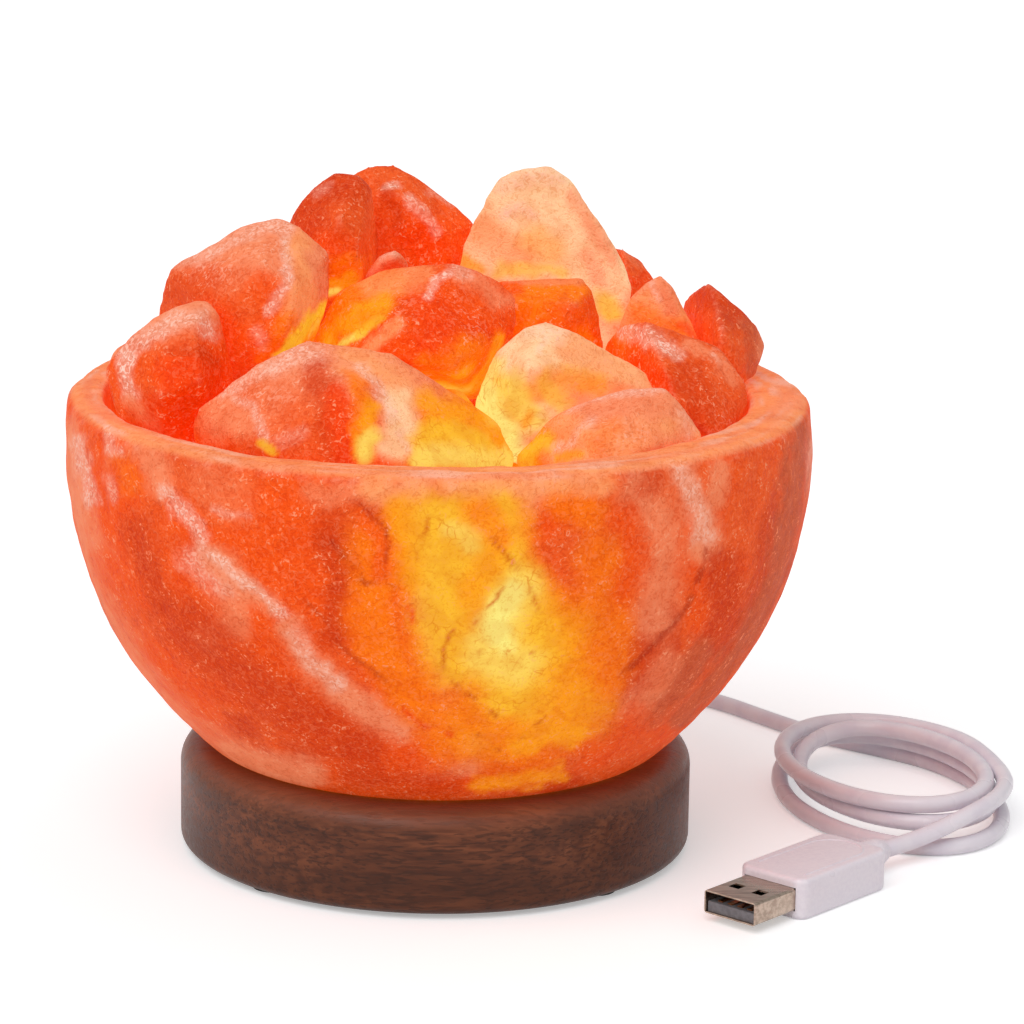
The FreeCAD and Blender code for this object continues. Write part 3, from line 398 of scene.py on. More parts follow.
def neighbour_means(values, edges):
    """For each vertex, the mean of its neighbours' values."""
    count = np.bincount(edges.ravel(), minlength=len(values))
    total = np.zeros_like(values)
    for column in range(values.shape[1]):
        total[:, column] = np.bincount(edges[:, 0], values[edges[:, 1], column], len(values))
        total[:, column] += np.bincount(edges[:, 1], values[edges[:, 0], column], len(values))
    return total / count[:, None]


def relaxed(values, edges, passes):
    """Values evened out along the mesh; on points it rounds the edges."""
    for _ in range(passes):
        values = 0.5 * values + 0.5 * neighbour_means(values, edges)
    return values


def ridge_height(mesh, passes):
    """How sharply each vertex stands out from its neighbours, in metres, evened out a little."""
    points = read_points(mesh)
    edges = read_edges(mesh)
    proud = np.sum((points - neighbour_means(points, edges)) * read_normals(mesh), axis=1)
    return relaxed(proud[:, None], edges, passes)[:, 0]


# how far the rough skin swells in mm, then its layers: size in mm, depth in mm and seed
ROCK_SKIN = (0.05, [(12, 0.35, 0), (5, 0.28, 50), (2.2, 0.15, 100)])
BOWL_SKIN = (-0.05, [(15, 0.30, 7), (5, 0.20, 8), (2.2, 0.08, 9)])


def rough_skin(points, skin, seed):
    """How far a rough skin stands out at each point, in metres."""
    swell, layers = skin
    total = np.full(len(points), swell)
    for size, depth, layer_seed in layers:
        total += depth * soft_noise(points, size * MM, seed + layer_seed)
    return total * MM


def face_planes(node):
    """The different planes of a chunk's CAD faces: a facing and a distance each."""
    mesh = frame["nodes"][node].data
    planes = {}
    for face in mesh.polygons:
        facing = face.normal
        offset = facing.dot(mesh.vertices[face.vertices[0]].co)
        planes[tuple(round(part, 2) for part in (*facing, 300 * offset))] = (*facing, offset)
    return np.array(list(planes.values()))


def gap_to_chunk(points, planes):
    """Each point's distance outside a convex chunk."""
    gap = np.full(len(points), -np.inf)
    for plane in planes:
        gap = np.maximum(gap, points @ plane[:3] - plane[3])
    return gap


def store(mesh, name, values):
    """Keeps a number or a colour for each vertex, for the shader."""
    if values.ndim == 1:
        kept = mesh.attributes.new(name, "FLOAT", "POINT")
        kept.data.foreach_set("value", values.astype(np.float32))
    else:
        kept = mesh.attributes.new(name, "FLOAT_COLOR", "POINT")
        colours = np.concatenate([values, np.ones((len(values), 1))], axis=1)
        kept.data.foreach_set("color", colours.astype(np.float32).ravel())


def smooth_shaded(mesh):
    """Shades the faces as one smooth surface."""
    mesh.polygons.foreach_set("use_smooth", [True] * len(mesh.polygons))


# where the bulb's light comes through most: place in mm, reach in mm, strength
GLOW_PLACES = [
    ((13, -40, 87), 11, 1.0),
    ((-22, -12, 101), 9, 0.8),
    ((0, -20, 93), 10, 0.9),
    ((-17, -45, 88), 9, 0.5),
    ((-2, -48, 88), 8, 0.8),
    ((31, -5, 99), 8, 0.5),
    ((30, 0, 97), 8, 0.5),
    ((-21, 5, 106), 7, 0.5),
    ((11, -30, 89), 9, 0.8),
    ((3, -18, 93), 8, 0.9),
]
BULB_HEART = np.array([0.0, 0.0, 0.055])


def glow_at(points):
    """How brightly the light inside shows through at each point."""
    total = np.zeros(len(points))
    for place, reach, strength in GLOW_PLACES:
        away = np.linalg.norm(points - MM * np.array(place), axis=1) / (MM * reach)
        total += strength * np.exp(-away * away)
    return np.clip(total, 0, 1)


def lit(tone, glow):
    """A salt colour with light behind it: through orange and amber to yellow as the glow grows."""
    tone = blend(tone, ORANGE, rising(glow, 0.10, 0.40))
    tone = blend(tone, AMBER, rising(glow, 0.35, 0.65))
    return blend(tone, YELLOW, rising(glow, 0.60, 1.00))


def own_glow(tone):
    """How much of a colour is the lamp's own light: most in the yellows, little in reds and frost."""
    return np.clip(1.7 * (tone[:, 1] - tone[:, 2]), 0, 1)


class Rock:
    """One salt chunk's own colours: over most of it, in patches, and near its top."""

    def __init__(self, main, patches, top, frost=0.5, voxel=0.7):
        self.main = np.array(main)
        self.patches = np.array(patches)
        self.top = np.array(top)
        self.frost = frost
        self.voxel = voxel * MM


SIDE_VOXEL = 0.9
HIDDEN_VOXEL = 1.6

ROCKS = {
    "left_high": Rock(RED, ORANGE_RED, SALMON, frost=0.6),
    "left_front": Rock(ORANGE_RED, RED, SALMON, frost=0.6),
    "left_low": Rock(SALMON, RED, SALMON, frost=0.6),
    "front_left": Rock(RED, ORANGE_RED, SALMON, frost=0.4),
    "front_middle": Rock(PALE, PEACH, PALE, frost=0.3),
    "front_right": Rock(PEACH, SALMON, SALMON, frost=0.5),
    "right_front": Rock(RED, DEEP_RED, RED, frost=0.3),
    "centre": Rock(ORANGE_RED, FIRE, ORANGE_RED, frost=0.3),
    "glow": Rock(GOLD, AMBER, YELLOW, frost=0.1),
    "centre_peek": Rock(SALMON, RED, SALMON, frost=0.4),
    "block": Rock(ORANGE, ORANGE_RED, ORANGE, frost=0.15),
    "right_peach": Rock(PEACH, ORANGE, SALMON, frost=0.3),
    "right_back": Rock(RED, ORANGE_RED, DEEP_RED, frost=0.2),
    "back_left": Rock(RED, DEEP_RED, DEEP_RED, frost=0.2),
    "back_middle": Rock(ORANGE_RED, RED, RED, frost=0.3),
    "tall": Rock(PALE, PEACH, PALE, frost=0.4),
    "small_back": Rock(RED, DEEP_RED, RED, frost=0.2),
    "rear_left": Rock(RED, ORANGE_RED, SALMON, frost=0.5, voxel=SIDE_VOXEL),
    "rear_middle": Rock(PEACH, ORANGE, SALMON, frost=0.5, voxel=SIDE_VOXEL),
    "rear_right": Rock(RED, ORANGE_RED, SALMON, frost=0.5, voxel=SIDE_VOXEL),
    "rear_far_right": Rock(ORANGE_RED, RED, SALMON, frost=0.5, voxel=SIDE_VOXEL),
    "deep_left": Rock(ORANGE, FIRE, ORANGE, voxel=HIDDEN_VOXEL),
    "deep_front_left": Rock(AMBER, YELLOW, ORANGE, voxel=HIDDEN_VOXEL),
    "deep_front_right": Rock(AMBER, YELLOW, ORANGE, voxel=HIDDEN_VOXEL),
    "deep_right": Rock(ORANGE, FIRE, ORANGE, voxel=HIDDEN_VOXEL),
    "deep_back_left": Rock(ORANGE, FIRE, ORANGE, voxel=HIDDEN_VOXEL),
    "deep_back_right": Rock(ORANGE, FIRE, ORANGE, voxel=HIDDEN_VOXEL),
}

# what the photograph shows on each chunk, back to front: colour, half width, strength, line, all in pixels
ROCK_STROKES = {
    "left_high": [
        (DEEP_RED, 16, 0.5, [(175, 292), (205, 278)]),
        (ORANGE_RED, 16, 0.7, [(225, 330), (245, 348), (255, 370)]),
        (FROST, 9, 0.6, [(178, 262), (215, 248), (245, 232), (268, 224), (286, 228)]),
        (PEACH, 15, 0.9, [(300, 244), (308, 268), (303, 292), (298, 310)]),
        (SALMON, 10, 0.8, [(316, 255), (322, 275), (320, 290)]),
        (FROST, 6, 0.7, [(284, 238), (288, 262), (286, 286), (272, 312)]),
        (ORANGE, 10, 0.7, [(290, 318), (275, 340), (262, 355)]),
        (FROST, 8, 0.4, [(255, 330), (262, 345)]),
        (GOLD, 8, 0.95, [(321, 308), (308, 328), (294, 346), (282, 358)]),
        (YELLOW, 3, 0.8, [(318, 322), (312, 340)]),
    ],
    "left_front": [
        (RED, 12, 0.6, [(150, 345), (200, 340), (215, 350)]),
        (FROST, 10, 0.7, [(128, 350), (150, 335), (178, 322), (202, 316), (208, 332)]),
        (FROST, 9, 0.9, [(126, 356), (124, 374), (132, 392)]),
        (SALMON, 9, 0.7, [(130, 398), (142, 412), (156, 424)]),
        (FIRE, 28, 1.0, [(180, 378), (208, 374), (196, 402), (172, 408), (205, 430)]),
        (DEEP_RED, 6, 0.5, [(170, 352), (200, 352), (215, 362)]),
    ],
    "left_low": [
        (SALMON, 10, 0.8, [(105, 365), (115, 385)]),
        (FROST, 5, 0.7, [(112, 366), (110, 388)]),
    ],
    "front_left": [
        (SALMON, 18, 0.7, [(225, 400), (215, 425), (245, 420)]),
        (FROST, 12, 0.65, [(276, 368), (298, 352), (318, 362)]),
        (FROST, 8, 0.55, [(222, 392), (245, 380), (268, 368)]),
        (DEEP_RED, 18, 0.8, [(318, 376), (326, 400), (332, 430), (338, 452)]),
        (RED, 16, 0.7, [(300, 410), (290, 440)]),
        (FIRE, 13, 0.8, [(335, 395), (340, 425), (345, 452)]),
        (FROST, 5, 0.6, [(236, 400), (254, 406), (258, 426), (266, 442)]),
        (FROST, 9, 0.35, [(300, 432), (282, 440)]),
        (ORANGE, 10, 0.95, [(354, 376), (362, 400), (356, 430)]),
        (AMBER, 10, 0.9, [(368, 405), (366, 430), (360, 450)]),
        (PEACH, 16, 0.9, [(352, 360), (385, 372), (408, 392)]),
        (SALMON, 8, 0.6, [(330, 356), (350, 366)]),
        (PALE, 17, 0.9, [(396, 400), (402, 425), (396, 445)]),
        (FROST, 8, 0.6, [(362, 368), (378, 384), (388, 404), (392, 415)]),
        (FROST, 6, 0.4, [(400, 432), (408, 450)]),
        (AMBER, 16, 0.9, [(430, 402), (455, 412), (440, 425)]),
        (GOLD, 16, 0.95, [(425, 440), (455, 435), (480, 450)]),
        (YELLOW, 11, 1.0, [(372, 436), (366, 452)]),
        (YELLOW, 12, 0.95, [(420, 458), (450, 456), (480, 462), (505, 458)]),
        (AMBER, 5, 0.8, [(462, 415), (484, 425), (500, 438)]),
        (GOLD, 6, 0.9, [(262, 446), (272, 452)]),
    ],
    "front_middle": [
        (PEACH, 22, 0.8, [(575, 350), (600, 365), (625, 380)]),
        (AMBER, 13, 0.7, [(570, 375), (600, 388)]),
        (FROST, 10, 0.5, [(512, 336), (535, 328), (558, 334)]),
        (FROST, 4, 0.5, [(545, 340), (538, 352)]),
        (PALE, 16, 0.8, [(515, 345), (520, 370)]),
        (GOLD, 14, 0.7, [(545, 385), (560, 400)]),
        (YELLOW, 16, 0.9, [(508, 385), (520, 405), (530, 420)]),
        (BRIGHT, 13, 1.0, [(486, 392), (490, 410), (505, 432), (512, 452)]),
        (BRIGHT, 8, 0.7, [(498, 362), (488, 380)]),
        (AMBER, 5, 0.6, [(530, 415), (524, 425)]),
    ],
    "front_right": [
        (SALMON, 16, 0.8, [(605, 405), (640, 400), (665, 405)]),
        (PEACH, 18, 0.8, [(560, 425), (590, 440), (560, 452)]),
        (ORANGE, 14, 0.45, [(610, 430), (600, 445)]),
        (FROST, 5, 0.6, [(560, 408), (590, 398), (630, 392), (662, 390)]),
        (FROST, 5, 0.5, [(556, 446), (570, 446), (578, 430), (592, 418)]),
        (FROST, 10, 0.35, [(680, 415), (690, 430)]),
        (GOLD, 10, 0.8, [(528, 452), (545, 442)]),
        (AMBER, 6, 0.8, [(560, 458), (578, 455)]),
    ],
    "right_front": [
        (ORANGE_RED, 16, 0.9, [(600, 345), (625, 355), (655, 378)]),
        (FIRE, 10, 0.8, [(640, 365), (668, 388)]),
        (DEEP_RED, 20, 0.8, [(690, 378), (702, 400), (694, 425)]),
        (RED, 12, 0.6, [(715, 375), (730, 400)]),
        (SALMON, 8, 0.7, [(690, 345), (715, 358), (735, 380)]),
        (FROST, 9, 0.85, [(622, 328), (642, 336), (660, 346), (676, 354)]),
        (FROST, 3, 0.5, [(712, 354), (722, 366)]),
    ],
    "centre": [
        (ORANGE, 20, 0.95, [(338, 315), (352, 298), (385, 285)]),
        (PEACH, 14, 0.6, [(375, 285), (400, 278), (420, 275)]),
        (FIRE, 22, 0.85, [(432, 305), (436, 330), (428, 350)]),
        (ORANGE_RED, 16, 0.7, [(480, 300), (500, 320)]),
        (SALMON, 12, 0.7, [(460, 272), (485, 285), (500, 300)]),
        (FROST, 5, 0.8, [(428, 296), (436, 282), (446, 274)]),
        (FROST, 8, 0.5, [(450, 268), (468, 274)]),
        (AMBER, 10, 0.9, [(345, 325), (365, 312), (385, 300)]),
        (PEACH, 8, 0.7, [(368, 348), (385, 335), (398, 325)]),
        (YELLOW, 4, 1.0, [(338, 348), (350, 338), (362, 332)]),
        (GOLD, 5, 0.8, [(358, 332), (378, 318)]),
        (ORANGE, 12, 0.8, [(425, 368), (455, 362), (480, 350)]),
        (AMBER, 7, 0.9, [(500, 338), (492, 360), (480, 378)]),
    ],
    "glow": [
        (YELLOW, 8, 1.0, [(445, 384), (465, 388)]),
        (AMBER, 5, 0.7, [(455, 392), (470, 396)]),
        (ORANGE, 4, 0.7, [(434, 380), (450, 396)]),
        (BRIGHT, 2.5, 1.0, [(440, 385)]),
        (BRIGHT, 2.5, 1.0, [(456, 381)]),
        (BRIGHT, 2.5, 1.0, [(468, 398)]),
    ],
    "block": [
        (ORANGE, 16, 0.8, [(500, 300), (530, 310), (520, 325)]),
        (FIRE, 8, 0.6, [(500, 285), (520, 284)]),
        (SALMON, 4, 0.6, [(510, 280), (550, 280), (584, 282)]),
        (RED, 8, 0.5, [(565, 300), (572, 320)]),
        (ORANGE_RED, 8, 0.8, [(588, 300), (594, 330)]),
    ],
    "right_peach": [
        (SALMON, 10, 0.8, [(655, 280), (668, 290), (672, 310)]),
        (ORANGE, 12, 0.7, [(640, 312), (655, 325)]),
        (FROST, 4, 0.5, [(652, 280), (660, 300)]),
        (FIRE, 5, 0.6, [(684, 325), (696, 340)]),
    ],
    "right_back": [
        (DEEP_RED, 14, 0.7, [(690, 295), (715, 300), (735, 318)]),
        (ORANGE_RED, 10, 0.6, [(690, 320), (705, 340)]),
        # painted shade towards the chunk's right edge
        (SHADED_RED, 10, 0.7, [(748, 325), (758, 345), (752, 370)]),
        (SALMON, 5, 0.5, [(762, 335), (760, 355)]),
        (ORANGE_RED, 8, 0.7, [(738, 375), (745, 395)]),
    ],
    "back_left": [
        (DEEP_RED, 16, 0.7, [(300, 215), (318, 195), (345, 180), (370, 178)]),
        (RED, 14, 0.7, [(340, 215), (360, 225)]),
        (FROST, 5, 0.35, [(318, 195), (330, 188)]),
        (ORANGE_RED, 14, 0.8, [(330, 245), (365, 250)]),
        (ORANGE, 12, 0.9, [(338, 268), (362, 266)]),
        (AMBER, 8, 0.9, [(332, 282), (350, 280)]),
        (YELLOW, 4, 0.9, [(330, 294), (338, 290)]),
    ],
    "back_middle": [
        (RED, 14, 0.8, [(375, 172), (405, 172), (430, 190)]),
        (DEEP_RED, 7, 0.7, [(382, 190), (396, 212), (400, 235)]),
        (FIRE, 16, 0.7, [(405, 240), (430, 240)]),
        (ORANGE_RED, 12, 0.7, [(452, 230), (455, 260)]),
        (FROST, 4, 0.8, [(384, 188), (398, 186)]),
        (FROST, 6, 0.65, [(408, 200), (422, 212), (436, 232)]),
        (FROST, 5, 0.35, [(430, 188), (452, 202)]),
    ],
    "centre_peek": [
        (FROST, 5, 0.6, [(384, 256), (398, 252)]),
        (ORANGE_RED, 6, 0.6, [(390, 266), (402, 264)]),
    ],
    "tall": [
        (PEACH, 18, 0.7, [(480, 225), (500, 240), (520, 260)]),
        (AMBER, 16, 0.5, [(535, 240), (555, 252)]),
        (FROST, 13, 0.5, [(505, 182), (538, 172), (562, 180)]),
        (FROST, 6, 0.5, [(505, 214), (520, 208), (532, 216)]),
        (SALMON, 9, 0.6, [(575, 200), (595, 230), (615, 260)]),
        (SALMON, 9, 0.5, [(590, 255), (600, 280)]),
        (AMBER, 8, 0.8, [(462, 262), (478, 268)]),
        (GOLD, 8, 0.6, [(500, 270), (560, 272)]),
        (GOLD, 10, 0.8, [(600, 300), (612, 312)]),
    ],
    "small_back": [
        (SALMON, 4, 0.4, [(620, 248), (640, 262)]),
        (FIRE, 8, 0.6, [(634, 282), (646, 276)]),
    ],
}

ROCK_ROUNDING_PASSES = 4
CREVICE_SHADE_REACH = 4 * MM


def make_rock(name, rock, seed, planes):
    """One chunk: its CAD shape with worn edges, a rough skin and its own colours."""
    node = "chunk_" + name
    mesh = remeshed(node, rock.voxel)
    edges = read_edges(mesh)
    write_points(mesh, relaxed(read_points(mesh), edges, ROCK_ROUNDING_PASSES))
    points = read_points(mesh)
    facing = read_normals(mesh)
    ridges = ridge_height(mesh, 1) / rock.voxel
    write_points(mesh, points + facing * rough_skin(points, ROCK_SKIN, seed)[:, None])

    low = points[:, 2].min()
    height = (points[:, 2] - low) / (points[:, 2].max() - low)
    cloud = soft_noise(points, 14 * MM, seed + 150) + 0.5 * soft_noise(points, 5 * MM, seed + 200)
    patch = rising(cloud, -0.1, 0.5)
    tone = blend(rock.main, rock.patches, 0.8 * patch)
    tone = blend(tone, rock.top, rising(height + 0.4 * facing[:, 2], 0.8, 1.3))
    # painted shade between chunks: near another chunk the tone deepens towards fiery orange-red
    crevice_shade = np.zeros(len(points))
    for other, other_planes in planes.items():
        if other != name:
            crevice_shade = np.maximum(crevice_shade, 1 - rising(gap_to_chunk(points, other_planes), 0, CREVICE_SHADE_REACH))
    tone = blend(tone, FIRE, 0.5 * crevice_shade * (1 - own_glow(tone)))
    tone = lit(tone, 0.8 * glow_at(points) * (0.8 + 0.3 * soft_noise(points, 4 * MM, seed + 250)))
    # painted light from the bulb: faces within about 3 to 4.5 cm of it turn amber
    tone = blend(tone, AMBER, 0.8 * (1 - rising(np.linalg.norm(points - BULB_HEART, axis=1), 0.03, 0.045)))
    frost = rock.frost * rising(soft_noise(points, 9 * MM, seed + 300) + 0.4 * facing[:, 2], 0.2, 0.9)
    tone, frost = paint(points, facing, tone, frost, ROCK_STROKES.get(name, []), seed + 350)
    edge = rising(ridges, 0.04, 0.20)
    tone = blend(tone, FROST, 0.3 * edge * (1 - own_glow(tone)))
    store(mesh, "tone", tone)
    store(mesh, "glow", own_glow(tone))
    store(mesh, "frost", np.clip(np.maximum(frost, 0.5 * edge), 0, 1))
    smooth_shaded(mesh)
    piece = new_object("rock_" + name, mesh)
    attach(piece, "bowl")
    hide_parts(node)
    return piece


# what the photograph shows on the bowl, in the order of painting
BOWL_STROKES = [
    # its left side: salmon along the edge, then reds with a frosty vein running down to the right
    (SALMON, 16, 0.9, [(64, 430), (74, 520), (96, 600), (138, 672), (190, 728), (250, 762), (310, 775)]),
    (ORANGE_RED, 16, 0.5, [(104, 560), (130, 620), (170, 680), (215, 728)]),
    (DEEP_RED, 15, 0.8, [(134, 528), (150, 570), (162, 605)]),
    (DEEP_RED, 30, 0.85, [(188, 625), (220, 660), (262, 690), (310, 722), (360, 750)]),
    (SALMON, 16, 0.8, [(140, 440), (156, 468), (160, 486)]),
    (ORANGE, 12, 0.4, [(122, 462), (130, 486)]),
    (CORAL, 26, 0.8, [(210, 480), (240, 500)]),
    (FROST, 8, 0.7, [(76, 440), (84, 470), (90, 500)]),
    (FROST, 8, 0.65, [(106, 428), (112, 448), (116, 452)]),
    (FROST, 5, 0.5, [(108, 478), (112, 500)]),
    (FROST, 9, 0.7, [(164, 490), (176, 506), (194, 526), (202, 546)]),
    (FROST, 4, 0.5, [(214, 508), (232, 514), (248, 516)]),
    (FROST, 14, 0.5, [(190, 560), (225, 585)]),
    (SALMON, 13, 0.85, [(215, 562), (245, 584), (270, 604)]),
    (FROST, 7, 0.75, [(212, 556), (240, 578), (264, 594), (284, 616), (300, 640)]),
    (SALMON, 15, 0.9, [(290, 630), (306, 655), (335, 688), (372, 715), (400, 730)]),
    (FROST, 10, 0.6, [(294, 636), (312, 662), (334, 684)]),
    # the deep red field and the orange beside it, each with a torn edge
    (ORANGE_RED, 34, 0.9, [(276, 505), (296, 550), (318, 590), (332, 620)]),
    (SALMON, 12, 0.5, [(310, 490), (330, 500), (350, 492)]),
    (DEEP_RED, 16, 0.9, [(328, 545), (342, 575), (336, 605), (334, 632)]),
    (ORANGE, 26, 0.95, [(372, 540), (376, 590), (372, 630), (396, 675), (430, 715), (450, 740)]),
    (ORANGE_RED, 12, 0.7, [(365, 518), (380, 545), (380, 570)]),
    (PEACH, 16, 0.9, [(372, 488), (398, 492), (420, 486)]),
    (AMBER, 18, 0.9, [(400, 510), (410, 540), (412, 575)]),
    # the yellow heart, where the bulb's light shows through, painted as glowing colour
    (AMBER, 46, 0.9, [(470, 540), (470, 600), (500, 660), (560, 640), (570, 700), (500, 720)]),
    (GOLD, 30, 0.9, [(440, 520), (445, 570), (440, 620), (452, 660)]),
    (GOLD, 34, 0.9, [(490, 500), (500, 560), (520, 600), (530, 650), (510, 690)]),
    (YELLOW, 10, 0.8, [(450, 530), (472, 532), (468, 546)]),
    (YELLOW, 24, 0.95, [(520, 590), (500, 625), (486, 655), (520, 665)]),
    (BRIGHT, 14, 1.0, [(512, 596), (494, 622), (500, 640)]),
    (ORANGE, 18, 0.7, [(478, 510), (498, 535)]),
    (AMBER, 16, 0.7, [(490, 560), (470, 590)]),
    (ORANGE, 26, 0.75, [(600, 560), (612, 620), (606, 670)]),
    (ORANGE, 18, 0.6, [(470, 715), (500, 735), (540, 755)]),
    (AMBER, 12, 0.8, [(520, 745), (550, 738), (575, 735)]),
    (ORANGE, 20, 0.8, [(560, 500), (590, 515)]),
    (PEACH, 14, 0.8, [(450, 482), (500, 484), (560, 482), (600, 484)]),
    # the right side: salmon and red patches, with painted shade towards the edge
    (SALMON, 22, 0.7, [(640, 490), (662, 520), (660, 580), (655, 620)]),
    (ORANGE_RED, 15, 0.8, [(628, 520), (635, 560), (622, 590)]),
    (DEEP_RED, 9, 0.6, [(640, 490), (655, 486), (652, 470)]),
    (SALMON, 16, 0.9, [(682, 468), (696, 500), (706, 530), (702, 550)]),
    (SALMON, 10, 0.8, [(722, 466), (718, 500)]),
    (FROST, 12, 0.55, [(682, 470), (696, 502), (704, 535)]),
    (RED, 18, 0.9, [(756, 448), (746, 500), (736, 540)]),
    (DEEP_RED, 20, 0.9, [(722, 565), (728, 600), (716, 640)]),
    (SHADED_RED, 16, 0.8, [(700, 650), (675, 690), (650, 712)]),
    (SALMON, 14, 0.5, [(668, 660), (650, 690), (632, 710)]),
    (SHADED_RED, 12, 0.85, [(800, 430), (792, 500), (778, 570), (752, 630), (716, 684), (680, 722)]),
    (ORANGE_RED, 14, 0.6, [(590, 755), (620, 738), (640, 716)]),
    # the foot
    (DEEP_RED, 14, 0.7, [(350, 778), (400, 782), (450, 785)]),
    (AMBER, 9, 0.7, [(480, 786), (530, 780), (560, 772)]),
    # torn dark edges and thin cracks
    (DARK_EDGE, 3.0, 0.65, [(352, 500), (368, 512), (384, 528), (388, 546), (384, 574)]),
    (DARK_EDGE, 3.0, 0.65, [(326, 536), (344, 554), (354, 574), (366, 584), (380, 580), (396, 590)]),
    (ORANGE_RED, 3.0, 0.8, [(400, 590), (410, 606), (414, 622)]),
    (DARK_EDGE, 2.6, 0.5, [(306, 600), (326, 622), (338, 645), (362, 664), (384, 680), (394, 696)]),
    (ORANGE_RED, 3.0, 0.9, [(394, 696), (406, 712), (426, 728), (452, 736)]),
    (DARK_EDGE, 3.4, 0.6,
     [(706, 550), (698, 576), (694, 592), (684, 610), (668, 630), (650, 650), (622, 676)]),
    (CRACK, 2.6, 0.8, [(460, 500), (474, 514), (490, 536), (510, 560), (526, 580), (534, 600), (552, 632)]),
    (CRACK, 2.4, 0.7, [(430, 516), (422, 545), (416, 565)]),
    (CRACK, 1.6, 0.8, [(472, 630), (480, 615), (495, 600), (508, 582)]),
    (CRACK, 2.4, 0.8, [(452, 632), (441, 652), (442, 668), (456, 686), (476, 700), (498, 716)]),
    (CRACK, 2.4, 0.8, [(478, 736), (508, 756), (520, 742), (545, 718)]),
    (CRACK, 2.6, 0.7, [(480, 652)]),
    (CRACK, 2.6, 0.7, [(531, 653)]),
    (CRACK, 2.4, 0.8, [(530, 506)]),
    (DARK_EDGE, 3.0, 0.8, [(665, 567)]),
]

# the sides that the photograph doesn't show, in degrees round from the front and mm of height:
# light places with their reach in mm and strength, then frosty veins with half width and strength
SIDE_GLOWS = [
    ((100, 62), 15, 0.9),
    ((150, 74), 12, 0.6),
    ((172, 52), 13, 0.8),
    ((-150, 60), 15, 0.9),
    ((-112, 68), 11, 0.6),
]
SIDE_VEINS = [
    (5, 0.7, [(80, 82), (92, 72), (98, 56), (112, 44)]),
    (5, 0.7, [(-92, 86), (-104, 74), (-126, 60), (-134, 46)]),
    (5, 0.7, [(175, 88), (168, 72), (150, 60), (140, 42)]),
]
BOWL_RADIUS = 0.068
BOWL_VOXEL = 0.8 * MM
FREE_HEIGHTS = (0.022, 0.028)
RIM_HEIGHTS = (0.080, 0.086)
INNER_HEIGHTS = (0.070, 0.088)


def on_bowl(angle, height):
    """A place on the bowl's outer face, unrolled flat."""
    return np.array([math.radians(angle) * BOWL_RADIUS, height * MM])


def make_bowl():
    """The carved bowl: a hand-worked skin, with the light showing through its thinner places."""
    mesh = remeshed("salt_bowl", BOWL_VOXEL)
    edges = read_edges(mesh)
    write_points(mesh, relaxed(read_points(mesh), edges, 2))
    points = read_points(mesh)
    facing = read_normals(mesh)
    reach = np.linalg.norm(points[:, :2], axis=1)
    outward = rising(np.sum(facing[:, :2] * points[:, :2], axis=1) / reach, 0.1, 0.4)
    free = rising(points[:, 2], *FREE_HEIGHTS)
    rough = free * rough_skin(points, BOWL_SKIN, 0)
    write_points(mesh, points + facing * rough[:, None])

    angle = np.arctan2(points[:, 0], -points[:, 1])
    wander = np.stack([soft_noise(points, 5 * MM, 11), soft_noise(points, 5 * MM, 12)], axis=1)
    flat = np.stack([angle * BOWL_RADIUS, points[:, 2]], axis=1) + 2.5 * MM * wander
    patch = soft_noise(points, 18 * MM, 13) + 0.5 * soft_noise(points, 6 * MM, 14)
    tone = blend(np.array(ORANGE_RED), RED, rising(patch, -0.3, 0.5))
    tone = blend(tone, DEEP_RED, 0.8 * rising(patch, 0.3, 0.8))
    tone = blend(tone, SALMON, 0.7 * rising(-patch, 0.4, 0.9))
    glow = np.zeros(len(points))
    for place, size, strength in SIDE_GLOWS:
        away = np.linalg.norm(flat - on_bowl(*place), axis=1) / (MM * size)
        glow += strength * np.exp(-away * away)
    tone = lit(tone, glow * outward)
    frost = np.zeros(len(points))
    for width, strength, line in SIDE_VEINS:
        away = distance_to_line(flat, [on_bowl(*place) for place in line]) / (MM * width)
        frost = np.maximum(frost, strength * outward * np.exp(-away * away))
    tone = blend(tone, FROST, 0.6 * frost)
    # painted light from the bulb: the bowl's inner faces below the rim turn amber
    inside = (1 - outward) * (1 - rising(points[:, 2], *INNER_HEIGHTS))
    tone = blend(tone, AMBER, 0.7 * inside)
    tone, frost = paint(points, facing, tone, frost, BOWL_STROKES, 900)
    high = rising(points[:, 2], *RIM_HEIGHTS)
    rim = rising(facing[:, 2], 0.5, 0.85) * high
    turning = np.stack([angle * BOWL_RADIUS / 9, reach, points[:, 2]], axis=1)
    tone = blend(tone, PEACH, 0.75 * rim)
    tone = blend(tone, SALMON, 0.7 * rim * rising(soft_noise(turning, 1.6 * MM, 16), -0.3, 0.5))
    tone = blend(tone, FROST, 0.5 * rim * rising(soft_noise(turning, 1.1 * MM, 17), 0.1, 0.7))
    chipped = rising(ridge_height(mesh, 1) / BOWL_VOXEL, 0.03, 0.12) * high
    tone = blend(tone, FROST, 0.5 * chipped)
    store(mesh, "tone", tone)
    store(mesh, "glow", own_glow(tone))
    store(mesh, "frost", np.clip(np.maximum(frost, 0.6 * chipped), 0, 1))
    smooth_shaded(mesh)
    piece = new_object("carved_bowl", mesh)
    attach(piece, "bowl")
    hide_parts("salt_bowl")
    return piece


# ------------------------ materials


